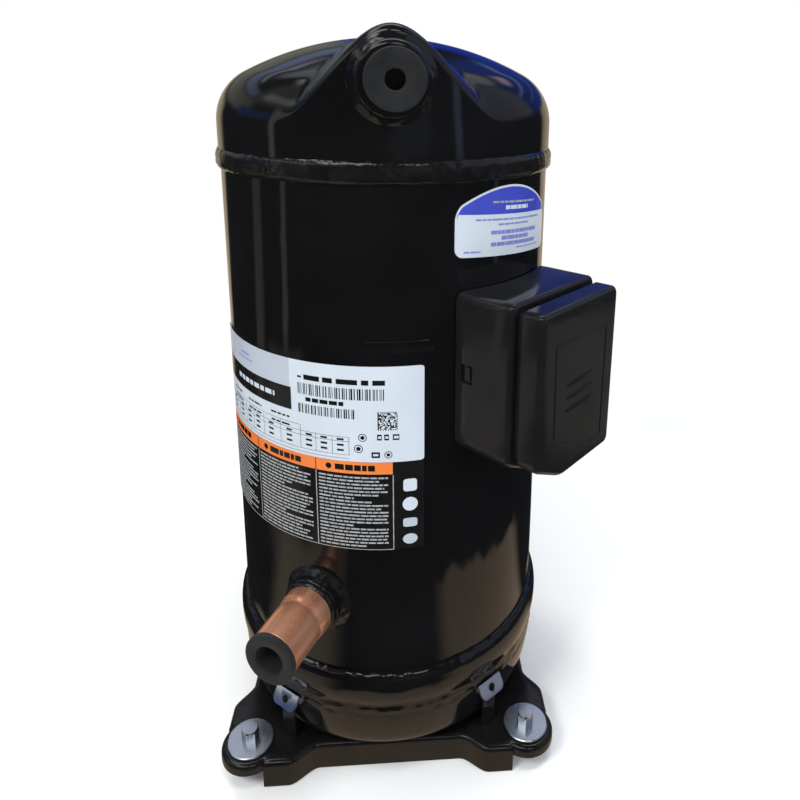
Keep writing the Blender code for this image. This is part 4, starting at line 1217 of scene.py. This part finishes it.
def window_mask(tree, value, low, high, soft):
    """1 between low and high, falling to 0 over the soft margin on each side."""
    settings = {"interpolation_type": "SMOOTHSTEP"}
    rise = mapped(tree, value, low - soft, low + soft, settings=settings)
    fall = mapped(tree, value, high - soft, high + soft, 1.0, 0.0, settings)
    return math_node(tree, "MULTIPLY", rise, fall)


def degrees(tree, operation, *values):
    return math_node(tree, "MULTIPLY", math_node(tree, operation, *values), 180 / math.pi)


def painted(tree, first, second, patches, total):
    """Soft-edged patches of colour over a plane of two coordinates, each laid over those before it."""
    for start, finish, low, high, soft, softer, colour in patches:
        mask = math_node(
            tree,
            "MULTIPLY",
            window_mask(tree, first, start, finish, soft),
            window_mask(tree, second, low, high, softer),
        )
        total = mix(tree, mask, total, colour)
    return total


def make_world():
    """A bright room for the camera and the matt surfaces, and a dim one with soft colour for reflections."""
    world = bpy.data.worlds.new("room")
    bpy.context.scene.world = world
    world.use_nodes = True
    tree = world.node_tree
    background = tree.nodes["Background"]
    looking = add(tree, "ShaderNodeTexCoord").outputs["Generated"]
    parts = add(tree, "ShaderNodeSeparateXYZ", Vector=looking)
    azimuth = degrees(tree, "ARCTAN2", parts.outputs[0], parts.outputs[1])
    elevation = degrees(tree, "ARCSINE", parts.outputs[2])
    # Azimuth 0 is behind the object and 90 is to its right; then come elevation, softness and colour.
    patches = (
        (-42, 44, -25, 9, 5, 3, (0.56, 0.45, 0.32)),
        (-46, 58, 43, 78, 6, 5, (0.50, 0.54, 0.62)),
        (-78, -4, 12, 26, 6, 3, (0.24, 0.25, 0.21)),
        (-72, -3, 27, 34, 5, 2, (0.26, 0.33, 0.52)),
        (-50, -16, 36, 38, 6, 2, (0.75, 0.8, 0.95)),
        (-120, -72, 24, 60, 6, 5, (0.16, 0.17, 0.15)),
        (-120, -66, 8, 17, 5, 3, (0.04, 0.07, 0.28)),
        (-6, 24, 10, 24, 4, 3, (0.012, 0.05, 0.46)),
        (14, 64, 9, 42, 4, 3, (0.014, 0.055, 0.36)),
        (16, 60, 25.5, 28, 3, 1, (0.22, 0.30, 0.62)),
        (20, 52, 17, 18.5, 3, 0.8, (0.10, 0.15, 0.40)),
        (30, 46, 33, 39, 4, 2, (0.85, 0.66, 0.78)),
        (60, 130, 9, 62, 5, 4, (0.20, 0.22, 0.28)),
        (-50, 50, 62, 72, 8, 3, (2.4, 2.45, 2.5)),
        (-104, -100, -12, 34, 1, 3, (0.5, 0.5, 0.48)),
        (-172, -118, 46, 60, 6, 5, (3.0, 3.0, 3.0)),
        (156, 176, 40, 52, 5, 4, (2.2, 2.3, 2.4)),
        (-150, -80, 30, 38, 5, 3, (0.7, 0.72, 0.75)),
        (-104, -56, 56, 70, 6, 4, (2.4, 2.5, 2.6)),
        (128, 133, -10, 30, 1, 3, (0.25, 0.32, 0.50)),
        (150, 176, -12, 20, 5, 4, (0.08, 0.09, 0.11)),
    )
    total = painted(tree, azimuth, elevation, patches, DIM)
    path = add(tree, "ShaderNodeLightPath")
    room = mix(tree, path.outputs["Is Glossy Ray"], (0.62, 0.65, 0.69), total)
    seen = mix(tree, path.outputs["Is Camera Ray"], room, BACKDROP)
    tree.links.new(seen, background.inputs["Color"])


def make_floor():
    """A pale round floor that fades into the room. Glossy rays see a painted reflection on it: tan near the
    object, dark beyond.
    """
    made = bmesh.new()
    bmesh.ops.create_circle(made, cap_ends=True, segments=96, radius=4000)
    for vert in made.verts:
        vert.co.z = -0.05
    mesh = bpy.data.meshes.new("floor")
    bmesh.ops.scale(made, vec=(MM, MM, MM), verts=made.verts)
    made.to_mesh(mesh)
    made.free()
    floor = bpy.data.objects.new("floor", mesh)
    floor.location = (0, 0, -DROP * MM)
    bpy.context.scene.collection.objects.link(floor)
    finish = bpy.data.materials.new("pale_floor")
    finish.use_nodes = True
    tree = finish.node_tree
    shader = tree.nodes["Principled BSDF"]
    output = tree.nodes["Material Output"]
    shader.inputs["Base Color"].default_value = (0.86, 0.86, 0.855, 1.0)
    shader.inputs["Roughness"].default_value = 0.75
    where = add(tree, "ShaderNodeTexCoord").outputs["Object"]
    distance = add(tree, "ShaderNodeVectorMath", {"operation": "LENGTH"}, i0=where).outputs["Value"]
    fade = mapped(tree, distance, 0.25, 1.0, settings={"interpolation_type": "SMOOTHSTEP"})
    away = add(tree, "ShaderNodeEmission", Color=(*BACKDROP, 1.0), Strength=1.0).outputs[0]
    pale = add(tree, "ShaderNodeMixShader", i0=fade, i1=shader.outputs[0], i2=away).outputs[0]

    parts = add(tree, "ShaderNodeSeparateXYZ", Vector=where)
    azimuth = degrees(tree, "ARCTAN2", parts.outputs[0], parts.outputs[1])
    rough = add(tree, "ShaderNodeTexNoise", Vector=where, Scale=9.0, Detail=2.0).outputs[0]
    ragged = math_node(tree, "MULTIPLY_ADD", rough, 0.16, distance)
    # Azimuth as in the room, then distance in metres, softness and colour.
    patches = (
        (-181, 181, -1, 0.25, 1, 0.012, (0.44, 0.33, 0.23)),
        (84, 150, -1, 0.38, 6, 0.012, (0.46, 0.35, 0.25)),
        (-150, -104, -1, 0.43, 8, 0.03, (0.38, 0.32, 0.23)),
        (-40, 42, -1, 9.0, 3, 0.1, (0.60, 0.49, 0.35)),
        (-124, -95, 0.42, 0.92, 4, 0.06, (0.26, 0.24, 0.21)),
        (56, 94, 0.60, 1.20, 5, 0.06, (0.13, 0.13, 0.11)),
        (-112, -108, 0.95, 6.0, 1, 0.1, (0.34, 0.34, 0.32)),
        (-90, -82, 0.7, 6.0, 2, 0.1, (0.22, 0.20, 0.17)),
        (100, 103, 0.8, 6.0, 1, 0.1, (0.20, 0.24, 0.34)),
    )
    total = painted(tree, azimuth, ragged, patches, DIM)
    # Painted reflections: glossy rays see the floor glow in these patches instead of its own pale colour.
    tan = add(tree, "ShaderNodeEmission", Color=total, Strength=1.0).outputs[0]
    glossy = add(tree, "ShaderNodeLightPath").outputs["Is Glossy Ray"]
    mixed = add(tree, "ShaderNodeMixShader", i0=glossy, i1=pale, i2=tan).outputs[0]
    tree.links.new(mixed, output.inputs["Surface"])
    mesh.materials.append(finish)


def make_lights():
    for name, location, height, size, energy, colour in (
        ("key", (-0.9, -0.9, 1.5), 0.25, (0.5, 0.5), 16, (1.0, 0.98, 0.95)),
        ("top", (0.15, -0.3, 1.7), 0.3, (0.9, 0.25), 12, (0.95, 0.97, 1.0)),
        ("rim", (-0.8, 1.0, 1.2), 0.3, (0.6, 0.3), 10, (1.0, 0.98, 0.95)),
        ("fill", (1.2, -1.0, 0.8), 0.2, (0.7, 0.7), 8, (0.9, 0.95, 1.0)),
    ):
        data = bpy.data.lights.new(name, "AREA")
        data.shape = "RECTANGLE"
        data.size, data.size_y = size
        data.energy = energy
        data.color = colour
        lamp = bpy.data.objects.new(name, data)
        bpy.context.scene.collection.objects.link(lamp)
        lamp.location = location
        aim = Vector((0, 0, height)) - Vector(location)
        lamp.rotation_euler = aim.to_track_quat("-Z", "Y").to_euler()
        lamp.visible_camera = False
        lamp.visible_glossy = False


def make_camera():
    """A near, high viewpoint with the object off-centre; the offset goes when the camera is moved.

    The turns here are in radians, and the spot is in metres.
    """
    data = bpy.data.cameras.new("camera")
    camera = bpy.data.objects.new("camera", data)
    bpy.context.scene.collection.objects.link(camera)
    yaw, pitch, roll = 0.0818, 0.2352, 0.0137
    spot = Vector((0.00897, -0.48227, 0.44404))
    aim = Matrix.Rotation(-yaw, 4, "Z") @ Matrix.Rotation(math.pi / 2 - pitch, 4, "X")
    camera.matrix_world = Matrix.Translation(spot) @ aim @ Matrix.Rotation(roll, 4, "Z")
    data.sensor_width = 36
    data.lens = 30.72285
    data.clip_start = 0.02
    marker = bpy.data.objects.new("camera_home", None)
    bpy.context.scene.collection.objects.link(marker)
    marker.location = spot
    for channel, offset in (("shift_x", -0.0685), ("shift_y", -0.190)):
        driver = data.driver_add(channel).driver
        away = driver.variables.new()
        away.name = "away"
        away.type = "LOC_DIFF"
        away.targets[0].id = camera
        away.targets[1].id = marker
        driver.expression = f"{offset} if away < 0.001 else 0.0"
    bpy.context.scene.camera = camera


make_top_cap()
make_seam()
make_shell()
make_bottom_cap()
make_discharge()
make_suction()
make_base()
make_fasteners()
make_clips()
make_rating_label()
make_arched_label()
make_terminal_box()
dress_works()
make_world()
make_floor()
make_lights()
make_camera()
bpy.context.scene.view_settings.view_transform = "Standard"
